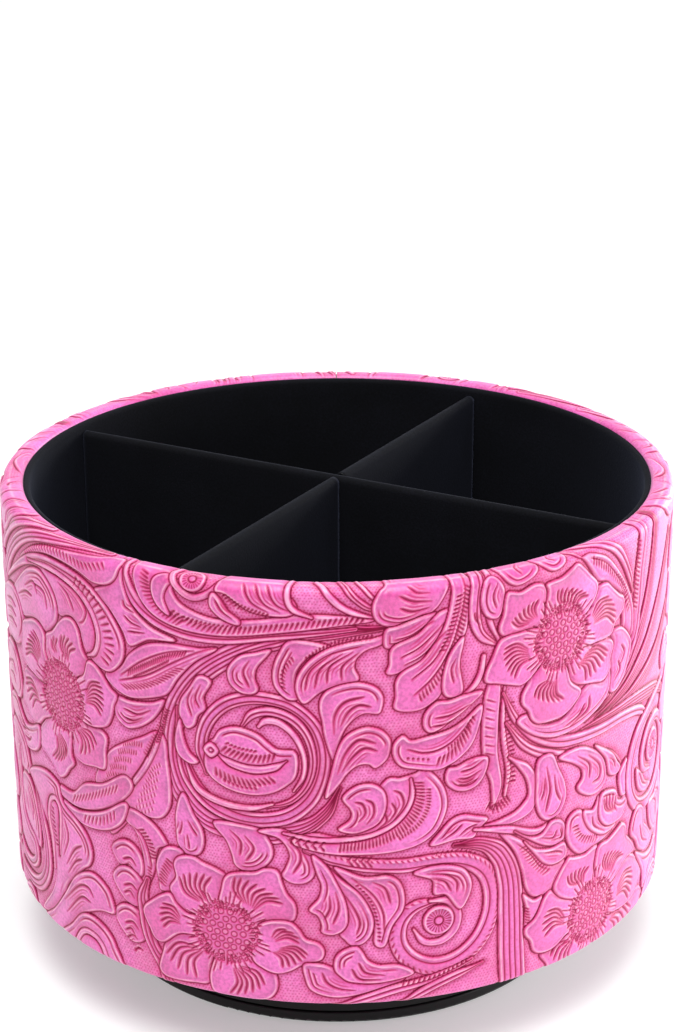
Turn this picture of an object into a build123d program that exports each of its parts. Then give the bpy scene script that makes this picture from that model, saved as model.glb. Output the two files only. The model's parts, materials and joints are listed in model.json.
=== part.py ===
from build123d import *
import os
from math import sqrt

# A leather-covered pen drum that turns on a ball-bearing base.
# Millimetres. Z is up, z = 0 is the table and the drum turns about Z.
# The main divider lies along X and the cross divider along Y.

# Drum shell
drum_diameter = 174.0  # over the leather
drum_height = 108.0  # from the leather's underside to the rim's crest
leather_thickness = 0.8
tube_wall = 4.3
tube_outer_round = 1.8  # rounding of the tube's top edge, outside
tube_inner_round = 0.8  # rounding of the tube's top edge, inside
tube_bottom_round = 0.5
turn_in_depth = 16.0  # how far the leather goes down inside the rim
turn_under_width = 11.0  # how far it goes in under the drum
seam_gap = 0.3  # where the two ends of the leather meet
seam_angle = 119.0  # degrees from +X, at the back
glue_line = 0.05  # between any two glued pieces

# Lining
lining_card_thickness = 1.0
lining_velvet_thickness = 0.6
lining_drop = 1.0  # from the rim's crest to the lining's top edge

# Floor of the drum
floor_board_thickness = 5.0
floor_velvet_thickness = 0.6
floor_velvet_gap = 0.2  # all round, to the lining
bottom_cover_thickness = 0.8
bottom_cover_gap = 0.3  # all round, to the turned-under leather

# Dividers
divider_board_thickness = 2.0
divider_velvet_thickness = 0.5
divider_drop = 3.0  # from the rim's crest to the dividers' tops
divider_end_gap = 0.15  # to the lining
lap_gap = 0.1  # on each side of a half-lap slot

# Turntable
base_diameter = 127.0
base_height = 20.4  # from the table to the leather's underside
base_band = 3.0  # thickness of the plate that stands still
base_bottom_round = 0.9
base_top_round = 0.45
parting_gap = 0.45  # the dark line between the two plates
cup_wall = 2.2
cup_top_thickness = 3.0
cup_edge_round = 0.4
dust_lip_wall = 1.8
dust_lip_height = 3.5
dust_lip_gap = 0.6

# Ball bearing
race_diameter = 90.0  # circle through the balls' centres
ball_diameter = 6.0
ball_count = 12
race_clearance = 0.12
race_wall = 1.8  # land beside the groove
race_floor = 2.5  # plastic left under the groove
cage_thickness = 2.6
cage_gap = 0.3  # above and below the cage
cage_wall = 1.2  # beside each ball's pocket

# Pivot
post_diameter = 16.0
running_clearance = 0.06
sleeve_wall = 3.5
sleeve_gap = 1.0  # from the sleeve's end to the base plate
bolt_diameter = 5.0
bolt_clearance = 0.1
bolt_head_diameter = 10.0
bolt_head_height = 3.2
bolt_head_round = 0.8
bolt_head_clearance = 1.0  # to the drum's bottom cover
bolt_end_inset = 0.3  # from the base plate's underside
socket_across_flats = 3.0
socket_depth = 1.8
washer_overlap = 3.0  # beyond the post, all round
washer_thickness = 1.2
axial_play = 0.3
pocket_clearance = 0.5
pocket_wall = 2.5
nut_across_flats = 8.0
nut_height = 5.0
nut_inset = 0.6  # from the base plate's underside
nut_clearance = 0.1
thread_gap = 0.05

# Screws from the floor board into the turntable
screw_diameter = 3.5
screw_head_diameter = 7.2
screw_head_height = 2.2
screw_length = 13.0
screw_circle = 56.0
screw_count = 4
screw_clearance = 0.25
screw_sink = 0.1  # below the board's top face
drive_length = 4.2  # cross recess in the head
drive_width = 0.9
drive_depth = 1.1
boss_wall = 2.6
boss_end = 1.0  # plastic past the screw's tip

# Rubber feet
foot_diameter = 10.0
foot_thickness = 2.0
foot_inset = 1.4  # depth of the seat in the base plate
foot_edge = 0.5
foot_circle = 109.0
foot_count = 4

# A cut runs past the face it starts from by this much.
overshoot = 1.0

# Shapes are centred on Z and stand on their lowest face.
standing = (Align.CENTER, Align.CENTER, Align.MIN)

# Levels of the base
z_plate_low = foot_thickness - foot_inset
z_plate_top = z_plate_low + base_band
z_cup_low = z_plate_top + parting_gap

# Levels of the drum
z_drum_low = base_height
z_crest = z_drum_low + drum_height
z_board_low = z_drum_low + leather_thickness + glue_line
z_board_top = z_board_low + floor_board_thickness
z_floor = z_board_top + glue_line + floor_velvet_thickness
z_divider_top = z_crest - divider_drop
z_lap = (z_floor + z_divider_top) / 2

# Levels of the turntable
z_cup_top = z_board_low - bottom_cover_thickness
z_cup_ceiling = z_cup_top - cup_top_thickness
z_ball = (z_plate_top + z_cup_ceiling) / 2
z_head_low = z_cup_top - bolt_head_clearance - bolt_head_height
z_post_top = z_head_low - washer_thickness
z_pocket_floor = z_post_top - axial_play
z_sleeve_low = z_plate_top + sleeve_gap
z_nut_low = z_plate_low + nut_inset
z_nut_top = z_nut_low + nut_height
z_screw_top = z_board_top - screw_sink
z_screw_tip = z_screw_top - screw_length

# Radii, from the outside in
drum_radius = drum_diameter / 2
base_radius = base_diameter / 2
tube_radius = drum_radius - leather_thickness - glue_line
bore_radius = tube_radius - tube_wall
turn_in_radius = bore_radius - glue_line - leather_thickness
card_radius = turn_in_radius - glue_line
velvet_radius = card_radius - lining_card_thickness - glue_line
room_radius = velvet_radius - lining_velvet_thickness
ball_radius = ball_diameter / 2
groove_radius = ball_radius + race_clearance
race_radius = race_diameter / 2
land_gap = cage_thickness + 2 * cage_gap
post_radius = post_diameter / 2
washer_radius = post_radius + washer_overlap
pocket_radius = washer_radius + pocket_clearance
bolt_radius = bolt_diameter / 2
screw_radius = screw_diameter / 2
divider_thickness = divider_board_thickness + 2 * (divider_velvet_thickness + glue_line)


def disc(radius, low, high):
    """A cylinder about Z between two levels."""
    return Pos(0, 0, low) * Cylinder(radius, high - low, align=standing)


def ring(outer, inner, low, high):
    """A tube about Z between two levels."""
    return disc(outer, low, high) - disc(inner, low - overshoot, high + overshoot)


def turned(corners, rounds):
    """A solid of revolution from the corners of its section, each with its own rounding."""
    section = make_face(FilletPolyline(*corners, radius=rounds, close=True))
    return revolve(Plane.XZ * section, Axis.Z)


def around(count, radius, start=0.0):
    """Places on a circle about Z."""
    return PolarLocations(radius, count, start_angle=start)


def prism(across_flats, low, high):
    """A hexagonal prism about Z between two levels."""
    section = RegularPolygon(across_flats / 2, 6, major_radius=False)
    return Pos(0, 0, low) * extrude(section, high - low)


def upright(length, thickness, low, high):
    """A wall along X whose top edge is fully rounded."""
    shoulder = high - thickness / 2
    wall = Pos(0, 0, low) * Box(length, thickness, shoulder - low, align=standing)
    crest = Pos(0, 0, shoulder) * Rot(0, 90, 0) * Cylinder(thickness / 2, length)
    return wall + crest


def groove(z):
    """The path that the balls sweep, with their clearance."""
    return Pos(0, 0, z) * Torus(race_radius, groove_radius)


def countersink(low, high, gap):
    """The cone of a countersunk screw head, or with a gap the room for it."""
    top = screw_head_diameter / 2 + gap
    return Pos(0, 0, low) * Cone(screw_radius + gap, top, high - low, align=standing)


# Drum shell

def make_leather_wrap():
    skin = leather_thickness
    low, crest = z_drum_low, z_crest
    under_edge = drum_radius - turn_under_width
    turn_end = crest - turn_in_depth
    outer = [(under_edge, low), (drum_radius, low), (drum_radius, crest), (turn_in_radius, crest)]
    inner = [
        (turn_in_radius + skin, crest - skin),
        (drum_radius - skin, crest - skin),
        (drum_radius - skin, low + skin),
        (under_edge, low + skin),
    ]
    ends = [(turn_in_radius, turn_end), (turn_in_radius + skin, turn_end)]
    cores = [tube_bottom_round + glue_line, tube_outer_round + glue_line, tube_inner_round + glue_line]
    over = [0.0] + [core + skin for core in cores]
    rounds = over + [0.0, 0.0] + cores[::-1] + [0.0]
    sleeve = turned(outer + ends + inner, rounds)
    slit = Pos(drum_radius, 0, z_drum_low - overshoot) * Box(
        2 * turn_under_width + 2 * (drum_radius - turn_in_radius),
        seam_gap,
        drum_height + 2 * overshoot,
        align=standing,
    )
    return sleeve - Rot(0, 0, seam_angle) * slit


def make_drum_tube():
    low, top = z_board_low, z_crest - leather_thickness - glue_line
    corners = [(bore_radius, low), (tube_radius, low), (tube_radius, top), (bore_radius, top)]
    return turned(corners, [0.0, tube_bottom_round, tube_outer_round, tube_inner_round])


# Lining and floor

lining_top = z_crest - lining_drop
card_top = lining_top - lining_velvet_thickness - glue_line


def make_lining_card():
    return ring(card_radius, card_radius - lining_card_thickness, z_board_top, card_top)


def make_lining_velvet():
    """The velvet covers the card's face and folds over its top edge."""
    face = ring(velvet_radius, room_radius, z_board_top, lining_top)
    fold = ring(card_radius, room_radius, lining_top - lining_velvet_thickness, lining_top)
    return face + fold


def make_floor_board():
    board = disc(bore_radius - glue_line, z_board_low, z_board_top)
    head = z_screw_top - screw_head_height
    for place in around(screw_count, screw_circle / 2):
        board -= place * disc(screw_radius + screw_clearance, z_board_low - overshoot, z_board_top)
        board -= place * countersink(head - screw_clearance, z_board_top, screw_clearance)
    return board


def make_floor_velvet():
    return disc(room_radius - floor_velvet_gap, z_board_top + glue_line, z_floor)


def make_bottom_cover():
    cover = disc(drum_radius - turn_under_width - bottom_cover_gap, z_cup_top, z_board_low)
    for place in around(screw_count, screw_circle / 2):
        hole = screw_radius + screw_clearance
        cover -= place * disc(hole, z_cup_top - overshoot, z_board_low + overshoot)
    return cover


# Dividers

room = room_radius - divider_end_gap
divider_length = 2 * sqrt(room ** 2 - (divider_thickness / 2) ** 2)


def lap_slot(low, high):
    """The slot in one divider that the other one stands in."""
    width = divider_thickness + 2 * lap_gap
    return Pos(0, 0, low) * Box(width, 2 * width, high - low, align=standing)


def divider_pair(slot):
    """A board and the velvet folded over it, both along X, with the half-lap slot cut out."""
    board_top = z_divider_top - divider_velvet_thickness - glue_line
    board = upright(divider_length, divider_board_thickness, z_floor, board_top)
    hollow = upright(
        divider_length + 2 * overshoot,
        divider_board_thickness + 2 * glue_line,
        z_floor - overshoot,
        board_top + glue_line,
    )
    velvet = upright(divider_length, divider_thickness, z_floor, z_divider_top) - hollow
    return board - slot, velvet - slot


# Turntable

def make_base_plate():
    corners = [(0, z_plate_low), (base_radius, z_plate_low), (base_radius, z_plate_top), (0, z_plate_top)]
    plate = turned(corners, [0.0, base_bottom_round, base_top_round, 0.0])
    lip = base_radius - cup_wall - dust_lip_gap
    plate += ring(lip, lip - dust_lip_wall, z_plate_top, z_plate_top + dust_lip_height)
    land = ball_radius + race_wall
    plate += ring(race_radius + land, race_radius - land, z_plate_top, z_ball - land_gap / 2)
    plate += disc(post_radius, z_plate_top, z_post_top)
    plate -= groove(z_ball)
    channel_top = z_ball - groove_radius - race_floor
    plate -= ring(race_radius + ball_radius, race_radius - ball_radius, z_plate_low - overshoot, channel_top)
    plate -= disc(bolt_radius + bolt_clearance, z_plate_low - overshoot, z_post_top + overshoot)
    plate -= prism(nut_across_flats + 2 * nut_clearance, z_plate_low - overshoot, z_nut_top)
    for place in foot_places():
        seat = foot_diameter / 2 + glue_line
        plate -= place * disc(seat, z_plate_low - overshoot, z_plate_low + foot_inset)
    return plate


def make_turntable_top():
    corners = [(0, z_cup_low), (base_radius, z_cup_low), (base_radius, z_cup_top), (0, z_cup_top)]
    cup = turned(corners, [0.0, cup_edge_round, cup_edge_round, 0.0])
    cup -= disc(base_radius - cup_wall, z_cup_low - overshoot, z_cup_ceiling)
    land = ball_radius + race_wall
    cup += ring(race_radius + land, race_radius - land, z_ball + land_gap / 2, z_cup_ceiling)
    cup -= groove(z_ball)
    cup += disc(pocket_radius + pocket_wall, z_pocket_floor - pocket_wall, z_cup_ceiling)
    cup += disc(post_radius + sleeve_wall, z_sleeve_low, z_pocket_floor)
    cup -= disc(pocket_radius, z_pocket_floor, z_cup_top + overshoot)
    cup -= disc(post_radius + running_clearance, z_sleeve_low - overshoot, z_pocket_floor + overshoot)
    for place in around(screw_count, screw_circle / 2):
        cup += place * disc(screw_radius + boss_wall, z_screw_tip - boss_end, z_cup_ceiling)
        cup -= place * disc(screw_radius + thread_gap, z_screw_tip - thread_gap, z_cup_top + overshoot)
    return cup


def make_turntable_screws():
    head = countersink(z_screw_top - screw_head_height, z_screw_top, 0.0)
    screw = head + disc(screw_radius, z_screw_tip, z_screw_top - screw_head_height)
    drive = Pos(0, 0, z_screw_top) * Box(drive_length, drive_width, 2 * drive_depth)
    screw -= drive + Rot(0, 0, 90) * drive
    return Compound([place * screw for place in around(screw_count, screw_circle / 2)])


# Ball bearing

def make_bearing_balls():
    ball = Pos(0, 0, z_ball) * Sphere(ball_radius)
    return Compound([place * ball for place in around(ball_count, race_radius)])


def make_ball_cage():
    half_width = groove_radius + cage_wall
    low, high = z_ball - cage_thickness / 2, z_ball + cage_thickness / 2
    cage = ring(race_radius + half_width, race_radius - half_width, low, high)
    for place in around(ball_count, race_radius):
        cage -= place * disc(groove_radius, low - overshoot, high + overshoot)
    return cage


# Pivot and feet

def make_pivot_bolt():
    head_top = z_head_low + bolt_head_height
    head_radius = bolt_head_diameter / 2
    corners = [(0, z_head_low), (head_radius, z_head_low), (head_radius, head_top), (0, head_top)]
    bolt = turned(corners, [0.0, 0.0, bolt_head_round, 0.0])
    bolt += disc(bolt_radius, z_plate_low + bolt_end_inset, z_head_low)
    return bolt - prism(socket_across_flats, head_top - socket_depth, head_top + overshoot)


def make_pivot_washer():
    return ring(washer_radius, bolt_radius + bolt_clearance, z_post_top, z_head_low)


def make_lock_nut():
    return prism(nut_across_flats, z_nut_low, z_nut_top) - disc(
        bolt_radius + thread_gap, z_nut_low - overshoot, z_nut_top + overshoot
    )


def foot_places():
    return around(foot_count, foot_circle / 2, 180 / foot_count)


def make_rubber_feet():
    radius = foot_diameter / 2
    pad = disc(radius, 0, foot_thickness)
    pad = chamfer(pad.edges().sort_by(Axis.Z)[0], foot_edge)
    return Compound([place * pad for place in foot_places()])


main_board, main_velvet = divider_pair(lap_slot(z_floor - overshoot, z_lap + lap_gap))
cross_board, cross_velvet = divider_pair(lap_slot(z_lap - lap_gap, z_divider_top + overshoot))
quarter_turn = Rot(0, 0, 90)

nodes = {
    "leather_wrap": make_leather_wrap(),
    "drum_tube": make_drum_tube(),
    "lining_card": make_lining_card(),
    "lining_velvet": make_lining_velvet(),
    "floor_board": make_floor_board(),
    "floor_velvet": make_floor_velvet(),
    "bottom_cover": make_bottom_cover(),
    "divider_main_board": main_board,
    "divider_main_velvet": main_velvet,
    "divider_cross_board": quarter_turn * cross_board,
    "divider_cross_velvet": quarter_turn * cross_velvet,
    "turntable_top": make_turntable_top(),
    "turntable_screws": make_turntable_screws(),
    "bearing_balls": make_bearing_balls(),
    "ball_cage": make_ball_cage(),
    "base_plate": make_base_plate(),
    "pivot_bolt": make_pivot_bolt(),
    "pivot_washer": make_pivot_washer(),
    "lock_nut": make_lock_nut(),
    "rubber_feet": make_rubber_feet(),
}

os.makedirs("parts", exist_ok=True)
for name, solid in nodes.items():
    export_step(solid, f"parts/{name}.step")
print(f"{len(nodes)} nodes, {drum_diameter:.1f} mm across, {z_crest:.2f} mm high")
print(f"rim {drum_radius - turn_in_radius:.2f} mm wide, compartments {z_crest - z_floor:.2f} mm deep")
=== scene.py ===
# %% [markdown]
# # A round pen holder in tooled leather
#
# This lesson dresses a finished CAD model. The drum, its dividers and its turntable come in as a fixed
# frame, in metres. Blender adds what a solid modeller does badly: leather with a pattern pressed into
# it, velvet, moulded plastic, light and a camera. Nothing of the frame is moved.

# %% Load the frame
import json
import math

import bpy
import numpy as np
from mathutils import Matrix, Vector

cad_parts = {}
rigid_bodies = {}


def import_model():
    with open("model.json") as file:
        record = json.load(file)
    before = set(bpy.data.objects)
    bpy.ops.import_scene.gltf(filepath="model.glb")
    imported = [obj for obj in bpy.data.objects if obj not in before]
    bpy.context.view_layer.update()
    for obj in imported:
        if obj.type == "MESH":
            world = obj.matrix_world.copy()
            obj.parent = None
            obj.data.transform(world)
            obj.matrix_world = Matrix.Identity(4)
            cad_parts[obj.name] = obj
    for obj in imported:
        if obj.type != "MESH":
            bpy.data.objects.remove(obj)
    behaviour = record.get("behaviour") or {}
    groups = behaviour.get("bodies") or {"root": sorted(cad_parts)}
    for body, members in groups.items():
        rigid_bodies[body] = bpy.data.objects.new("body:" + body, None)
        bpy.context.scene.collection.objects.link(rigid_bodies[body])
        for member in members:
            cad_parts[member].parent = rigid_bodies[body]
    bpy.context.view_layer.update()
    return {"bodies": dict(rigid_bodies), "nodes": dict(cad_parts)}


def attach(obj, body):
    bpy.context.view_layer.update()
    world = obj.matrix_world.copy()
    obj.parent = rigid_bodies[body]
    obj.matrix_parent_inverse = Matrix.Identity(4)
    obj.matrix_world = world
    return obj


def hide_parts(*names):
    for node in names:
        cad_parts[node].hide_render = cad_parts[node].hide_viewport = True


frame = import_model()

MM = 0.001
nodes = frame["nodes"]
bodies = frame["bodies"]
print("CAD nodes:", len(nodes), "bodies:", sorted(bodies))

# %% [markdown]
# ## The camera
#
# A camera could be pointed with a tracking constraint, but a turned matrix gives the small roll of a
# hand-held picture too. The right, up and back directions of the camera are worked out from three
# angles and put into the columns of its matrix. Everything else is then judged through this view.

# %% Place the camera
VIEW_AZIMUTH = math.radians(28.923)
VIEW_PITCH = math.radians(20.129)
VIEW_ROLL = math.radians(-0.182)
EYE = Vector((273.3, -494.35, 321.07)) * MM

look = Vector((
    -math.sin(VIEW_AZIMUTH) * math.cos(VIEW_PITCH),
    math.cos(VIEW_AZIMUTH) * math.cos(VIEW_PITCH),
    -math.sin(VIEW_PITCH),
))
level_right = Vector((math.cos(VIEW_AZIMUTH), math.sin(VIEW_AZIMUTH), 0.0))
level_up = level_right.cross(look)
right = math.cos(VIEW_ROLL) * level_right + math.sin(VIEW_ROLL) * level_up
up = -math.sin(VIEW_ROLL) * level_right + math.cos(VIEW_ROLL) * level_up
turn = Matrix((right, up, -look)).transposed()

camera_data = bpy.data.cameras.new("camera")
camera_data.lens = 80.1
camera_data.sensor_width = 36.0
camera_data.shift_x = 0.00176
camera_data.clip_start = 0.01
camera = bpy.data.objects.new("camera", camera_data)
camera.matrix_world = Matrix.Translation(EYE) @ turn.to_4x4()
bpy.context.scene.collection.objects.link(camera)
bpy.context.scene.camera = camera
print("camera at", [round(x, 4) for x in EYE])

# %% [markdown]
# ## Small helpers for materials
#
# Every finish here is a node tree on one Principled shader. Helpers keep the trees short: one starts a
# material, one adds a node with its inputs set, one joins an output to an input, and the others add the
# nodes that are used most. A value that is the same all over the surface is typed into the shader's own
# socket.

# %% Material helpers
def start_finish(name, **fixed):
    """A new material and its Principled shader, with fixed socket values."""
    mat = bpy.data.materials.new(name)
    mat.use_nodes = True
    shader = mat.node_tree.nodes["Principled BSDF"]
    for socket, value in fixed.items():
        shader.inputs[socket.replace("_", " ")].default_value = value
    return mat, shader


def add_node(mat, kind, settings=None, **inputs):
    """One node of a kind. Inputs are numbers, colours or another node's output socket."""
    node = mat.node_tree.nodes.new(kind)
    for key, value in (settings or {}).items():
        setattr(node, key, value)
    for key, value in inputs.items():
        socket = node.inputs[int(key[1:])] if key[1:].isdigit() else node.inputs[key.replace("_", " ")]
        if isinstance(value, bpy.types.NodeSocket):
            mat.node_tree.links.new(value, socket)
        else:
            socket.default_value = value
    return node


def join(mat, output, target):
    mat.node_tree.links.new(output, target)


def ramp(mat, fac, stops):
    """A colour ramp. stops are (place, colour) pairs."""
    node = add_node(mat, "ShaderNodeValToRGB", Fac=fac)
    band = node.color_ramp
    while len(band.elements) < len(stops):
        band.elements.new(0.5)
    for element, (place, colour) in zip(band.elements, stops):
        element.position = place
        element.color = (*colour, 1.0)
    return node.outputs["Color"]


def mix(mat, fac, a, b, blend="MIX"):
    """Two colours mixed by a factor."""
    node = add_node(mat, "ShaderNodeMix", {"data_type": "RGBA", "blend_type": blend})
    for socket, value in ((node.inputs[0], fac), (node.inputs[6], a), (node.inputs[7], b)):
        if isinstance(value, bpy.types.NodeSocket):
            join(mat, value, socket)
        elif isinstance(value, (int, float)):
            socket.default_value = value
        else:
            socket.default_value = (*value, 1.0)
    return node.outputs[2]


def maths(mat, operation, a, b=0.0, c=0.0):
    node = add_node(mat, "ShaderNodeMath", {"operation": operation})
    for socket, value in zip(node.inputs, (a, b, c)):
        if isinstance(value, bpy.types.NodeSocket):
            join(mat, value, socket)
        else:
            socket.default_value = value
    return node.outputs[0]


def noise(mat, per_metre, detail=2.0, stretch=None, roughness=0.5):
    """Noise in the object's own space, so that it turns with the piece."""
    place = add_node(mat, "ShaderNodeTexCoord").outputs["Object"]
    if stretch:
        place = add_node(mat, "ShaderNodeMapping", Vector=place, Scale=stretch).outputs[0]
    settings = {"Scale": per_metre, "Detail": detail, "Roughness": roughness}
    return add_node(mat, "ShaderNodeTexNoise", Vector=place, **settings).outputs["Fac"]


def bump(mat, shader, height, distance, strength=1.0):
    """Fine relief that only tilts the light, for grain far smaller than the mesh."""
    node = add_node(mat, "ShaderNodeBump", Height=height, Distance=distance, Strength=strength)
    join(mat, node.outputs[0], shader.inputs["Normal"])


print("material helpers ready")

# %% [markdown]
# ## Floor and light
#
# The holder stands on a plain white sweep, a floor that curves up into a wall behind it, so no horizon
# shows. Light comes from large soft panels, as in a small product studio: a broad one above, a weak one
# on the left, and two low ones on the right that draw a pale veil along the drum's edge. One more lights
# the wall behind. The sky itself is plain white and dim. The floor glows a little, which keeps the drum's
# shadow as faint as a large white room would, and its white is a touch cool, against the leather's pink.

# %% Make the floor sweep
def sweep_floor():
    depth_front, depth_back, bend, height, half = 1.6, 1.5, 0.8, 2.2, 2.6
    profile = [(-depth_front, 0.0), (0.0, 0.0), (depth_back, 0.0)]
    for step in range(1, 13):
        angle = math.radians(90.0 * step / 12)
        profile.append((depth_back + bend * math.sin(angle), bend * (1 - math.cos(angle))))
    profile.append((depth_back + bend, height))
    verts, faces = [], []
    for along, up_by in profile:
        for side in (-half, half):
            spot = level_right * side + Vector((look.x, look.y, 0.0)).normalized() * along
            verts.append((spot.x, spot.y, up_by))
    for i in range(len(profile) - 1):
        faces.append((2 * i, 2 * i + 1, 2 * i + 3, 2 * i + 2))
    mesh = bpy.data.meshes.new("floor_sweep")
    mesh.from_pydata(verts, [], faces)
    mesh.shade_smooth()
    floor = bpy.data.objects.new("floor_sweep", mesh)
    bpy.context.scene.collection.objects.link(floor)
    mat, shader = start_finish(
        "white_sweep",
        Roughness=0.7,
        Specular_IOR_Level=0.2,
        Emission_Color=(0.995, 1.0, 0.997, 1.0),
        Emission_Strength=0.36,
    )
    cloud = noise(mat, 3.0)
    white = ramp(mat, cloud, [(0.3, (0.66, 0.685, 0.67)), (0.7, (0.68, 0.705, 0.69))])
    join(mat, white, shader.inputs["Base Color"])
    mesh.materials.append(mat)
    return floor


floor = sweep_floor()
print("floor sweep:", len(floor.data.polygons), "faces")

# %% Set the light
def soft_panel(name, place, aim, width, height, watts):
    """A rectangular soft light at a place, turned to face a point."""
    data = bpy.data.lights.new(name, "AREA")
    data.shape = "RECTANGLE"
    data.size = width
    data.size_y = height
    data.energy = watts
    lamp = bpy.data.objects.new(name, data)
    lamp.location = place
    lamp.rotation_euler = (Vector(aim) - Vector(place)).to_track_quat("-Z", "Y").to_euler()
    bpy.context.scene.collection.objects.link(lamp)
    return lamp


def from_view(sideways, towards, height):
    """A place in the studio: sideways and towards the camera, seen from it, and up."""
    spot = level_right * sideways - Vector((look.x, look.y, 0.0)).normalized() * towards
    return (spot.x, spot.y, height)


MIDDLE = (0.0, 0.0, 0.07)
soft_panel("panel_above", from_view(-0.04, 0.45, 1.15), MIDDLE, 0.7, 0.7, 14.6)
soft_panel("panel_left", from_view(-1.0, 0.5, 0.5), MIDDLE, 0.7, 0.8, 0.9)
soft_panel("panel_right", from_view(0.75, 0.05, 0.16), MIDDLE, 0.6, 0.28, 3.5)
soft_panel("panel_far_right", from_view(0.8, -0.6, 0.2), MIDDLE, 0.7, 0.36, 6.2)
soft_panel("panel_backdrop", from_view(0.0, -0.7, 1.7), from_view(0.0, -2.2, 0.5), 1.8, 0.5, 22.0)

world = bpy.data.worlds.new("white_room")
world.use_nodes = True
sky = world.node_tree.nodes["Background"]
sky.inputs["Color"].default_value = (1.0, 1.0, 1.0, 1.0)
sky.inputs["Strength"].default_value = 0.24
bpy.context.scene.world = world
bpy.context.scene.view_settings.view_transform = "Standard"

# %% [markdown]
# ## The tooled sheet: a grid to press into
#
# On the real holder the flowers and scrolls are pressed into one flat sheet of leather, which is then
# wrapped round the drum. The same order works here. The sheet starts flat, as a grid of heights in
# millimetres: `a` runs round the drum and `h` runs up it. Shapes are pressed into the grid one after
# another, and only the finished grid is rolled into a mesh. A sculpted mesh or a bump texture could
# show the pattern too, but a height grid gives real relief and keeps each leaf a few listed points.
# The pattern repeats twice round the drum, so one repeat is drawn and its two ends join up. Four more
# grids note where the ground is bare, where dye is dark, where a painted shade dulls the upper sides of
# shapes, and where the lips are pale, partly from wear and partly as a painted highlight.

# %% The grid
DRUM_RADIUS = 87.0
REPEAT = math.pi * DRUM_RADIUS
COLUMNS = 1366
CELL = REPEAT / COLUMNS
SHEET_LOW = -4.0
ROWS = 610
GROUND_LEVEL = -0.28
DEEPEST = -0.60

relief = np.full((ROWS, COLUMNS), GROUND_LEVEL, np.float32)
matted = np.ones((ROWS, COLUMNS), np.float32)
# shaded: a painted shade along the upper sides of shapes
shaded = np.zeros((ROWS, COLUMNS), np.float32)
ink = np.zeros((ROWS, COLUMNS), np.float32)
# crest: pale lips, partly wear of the dye and partly a painted highlight
crest = np.zeros((ROWS, COLUMNS), np.float32)
print("grid:", ROWS, "x", COLUMNS, "cells of", round(CELL, 3), "mm")

# %% [markdown]
# ## Smooth lines through hand-set points
#
# A maker draws the pattern with a swivel knife, in smooth sweeps. A Catmull-Rom spline passes through
# every point it is given, so a sweep needs only a few of them. `place` shifts or mirrors whatever is
# drawn next, which lets a flower be used in a second spot.

# %% Line helpers
place = {"right": 0.0, "up": 0.0, "flip": 1.0}
strokes = {"raised": 0, "cuts": 0}


def tally():
    """What was pressed since the last count."""
    text = f"{strokes['raised']} raised shapes, {strokes['cuts']} cuts"
    strokes.update(raised=0, cuts=0)
    return text


def put(points):
    """Given points moved to where the current motif is placed."""
    p = np.array(points, float)
    p[:, 0] = p[:, 0] * place["flip"] + place["right"]
    p[:, 1] += place["up"]
    return p


def sweep(points, closed=False, steps=7):
    """A smooth run of points through the given ones."""
    p = np.asarray(points, float)
    if closed:
        q = np.vstack([p[-1:], p, p[:2]])
    else:
        q = np.vstack([2 * p[0] - p[1], p, 2 * p[-1] - p[-2]])
    t = np.linspace(0, 1, steps, endpoint=False)[:, None]
    runs = []
    for i in range(1, len(q) - 2):
        w, x, y, z = q[i - 1], q[i], q[i + 1], q[i + 2]
        runs.append(x + 0.5 * t * (y - w + t * (2 * w - 5 * x + 4 * y - z + t * (3 * (x - y) + z - w))))
    runs.append(runs[0][:1] if closed else p[-1:])
    return np.vstack(runs)


def lengths(path):
    """How far along the path each of its points lies."""
    return np.concatenate([[0.0], np.cumsum(np.hypot(*np.diff(path, axis=0).T))])


def along(values, count):
    """Given widths spread smoothly over a number of points."""
    v = np.asarray(values, float)
    x = np.linspace(0, len(v) - 1, count)
    i = np.minimum(x.astype(int), len(v) - 2)
    f = x - i
    f = f * f * (3 - 2 * f)
    return v[i] * (1 - f) + v[i + 1] * f


print("line helpers ready")

# %% [markdown]
# ## Distance to a line
#
# Each shape is pressed by distance: a cell just outside an outline is bevelled down, a cell inside is
# raised. Only a window of cells round the shape is worked on. Its columns wrap round the repeat, so a
# leaf may cross the ends of the grid.

# %% Distance helpers
def window(path, margin):
    """Grid cells round a path: their index, and their a and h."""
    low = path.min(0) - margin
    high = path.max(0) + margin
    cols = np.arange(math.floor(low[0] / CELL), math.ceil(high[0] / CELL) + 1)
    first = max(0, math.floor((low[1] - SHEET_LOW) / CELL))
    last = min(ROWS, math.ceil((high[1] - SHEET_LOW) / CELL) + 1)
    rows = np.arange(first, max(first, last))
    a, h = np.meshgrid(cols * CELL, SHEET_LOW + rows * CELL)
    return np.ix_(rows, (cols + COLUMNS // 2) % COLUMNS), a.astype(np.float32), h.astype(np.float32)


def follow(a, h, path):
    """For each cell, how far along the path its nearest point is, and its offset, left positive."""
    starts = lengths(path)
    best = np.full(a.shape, 1e9, np.float32)
    run = np.zeros_like(best)
    side = np.zeros_like(best)
    for i, (x0, y0) in enumerate(path[:-1]):
        size = max(starts[i + 1] - starts[i], 1e-6)
        dx, dy = (path[i + 1] - path[i]) / size
        x, y = a - x0, h - y0
        t = np.clip(x * dx + y * dy, 0, size)
        gap = (x - t * dx) ** 2 + (y - t * dy) ** 2
        near = gap < best
        best[near] = gap[near]
        run[near] = (starts[i] + t)[near]
        side[near] = (dx * y - dy * x)[near]
    return run, np.where(side < 0, -1, 1) * np.sqrt(best)


def enclosed(a, h, path):
    """True for the cells inside a closed path."""
    inside = np.zeros(a.shape, bool)
    for (x0, y0), (x1, y1) in zip(path[:-1], path[1:]):
        if y0 != y1:
            inside ^= ((y0 > h) != (y1 > h)) & (a < (x1 - x0) * (h - y0) / (y1 - y0) + x0)
    return inside


print("distance helpers ready")
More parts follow.
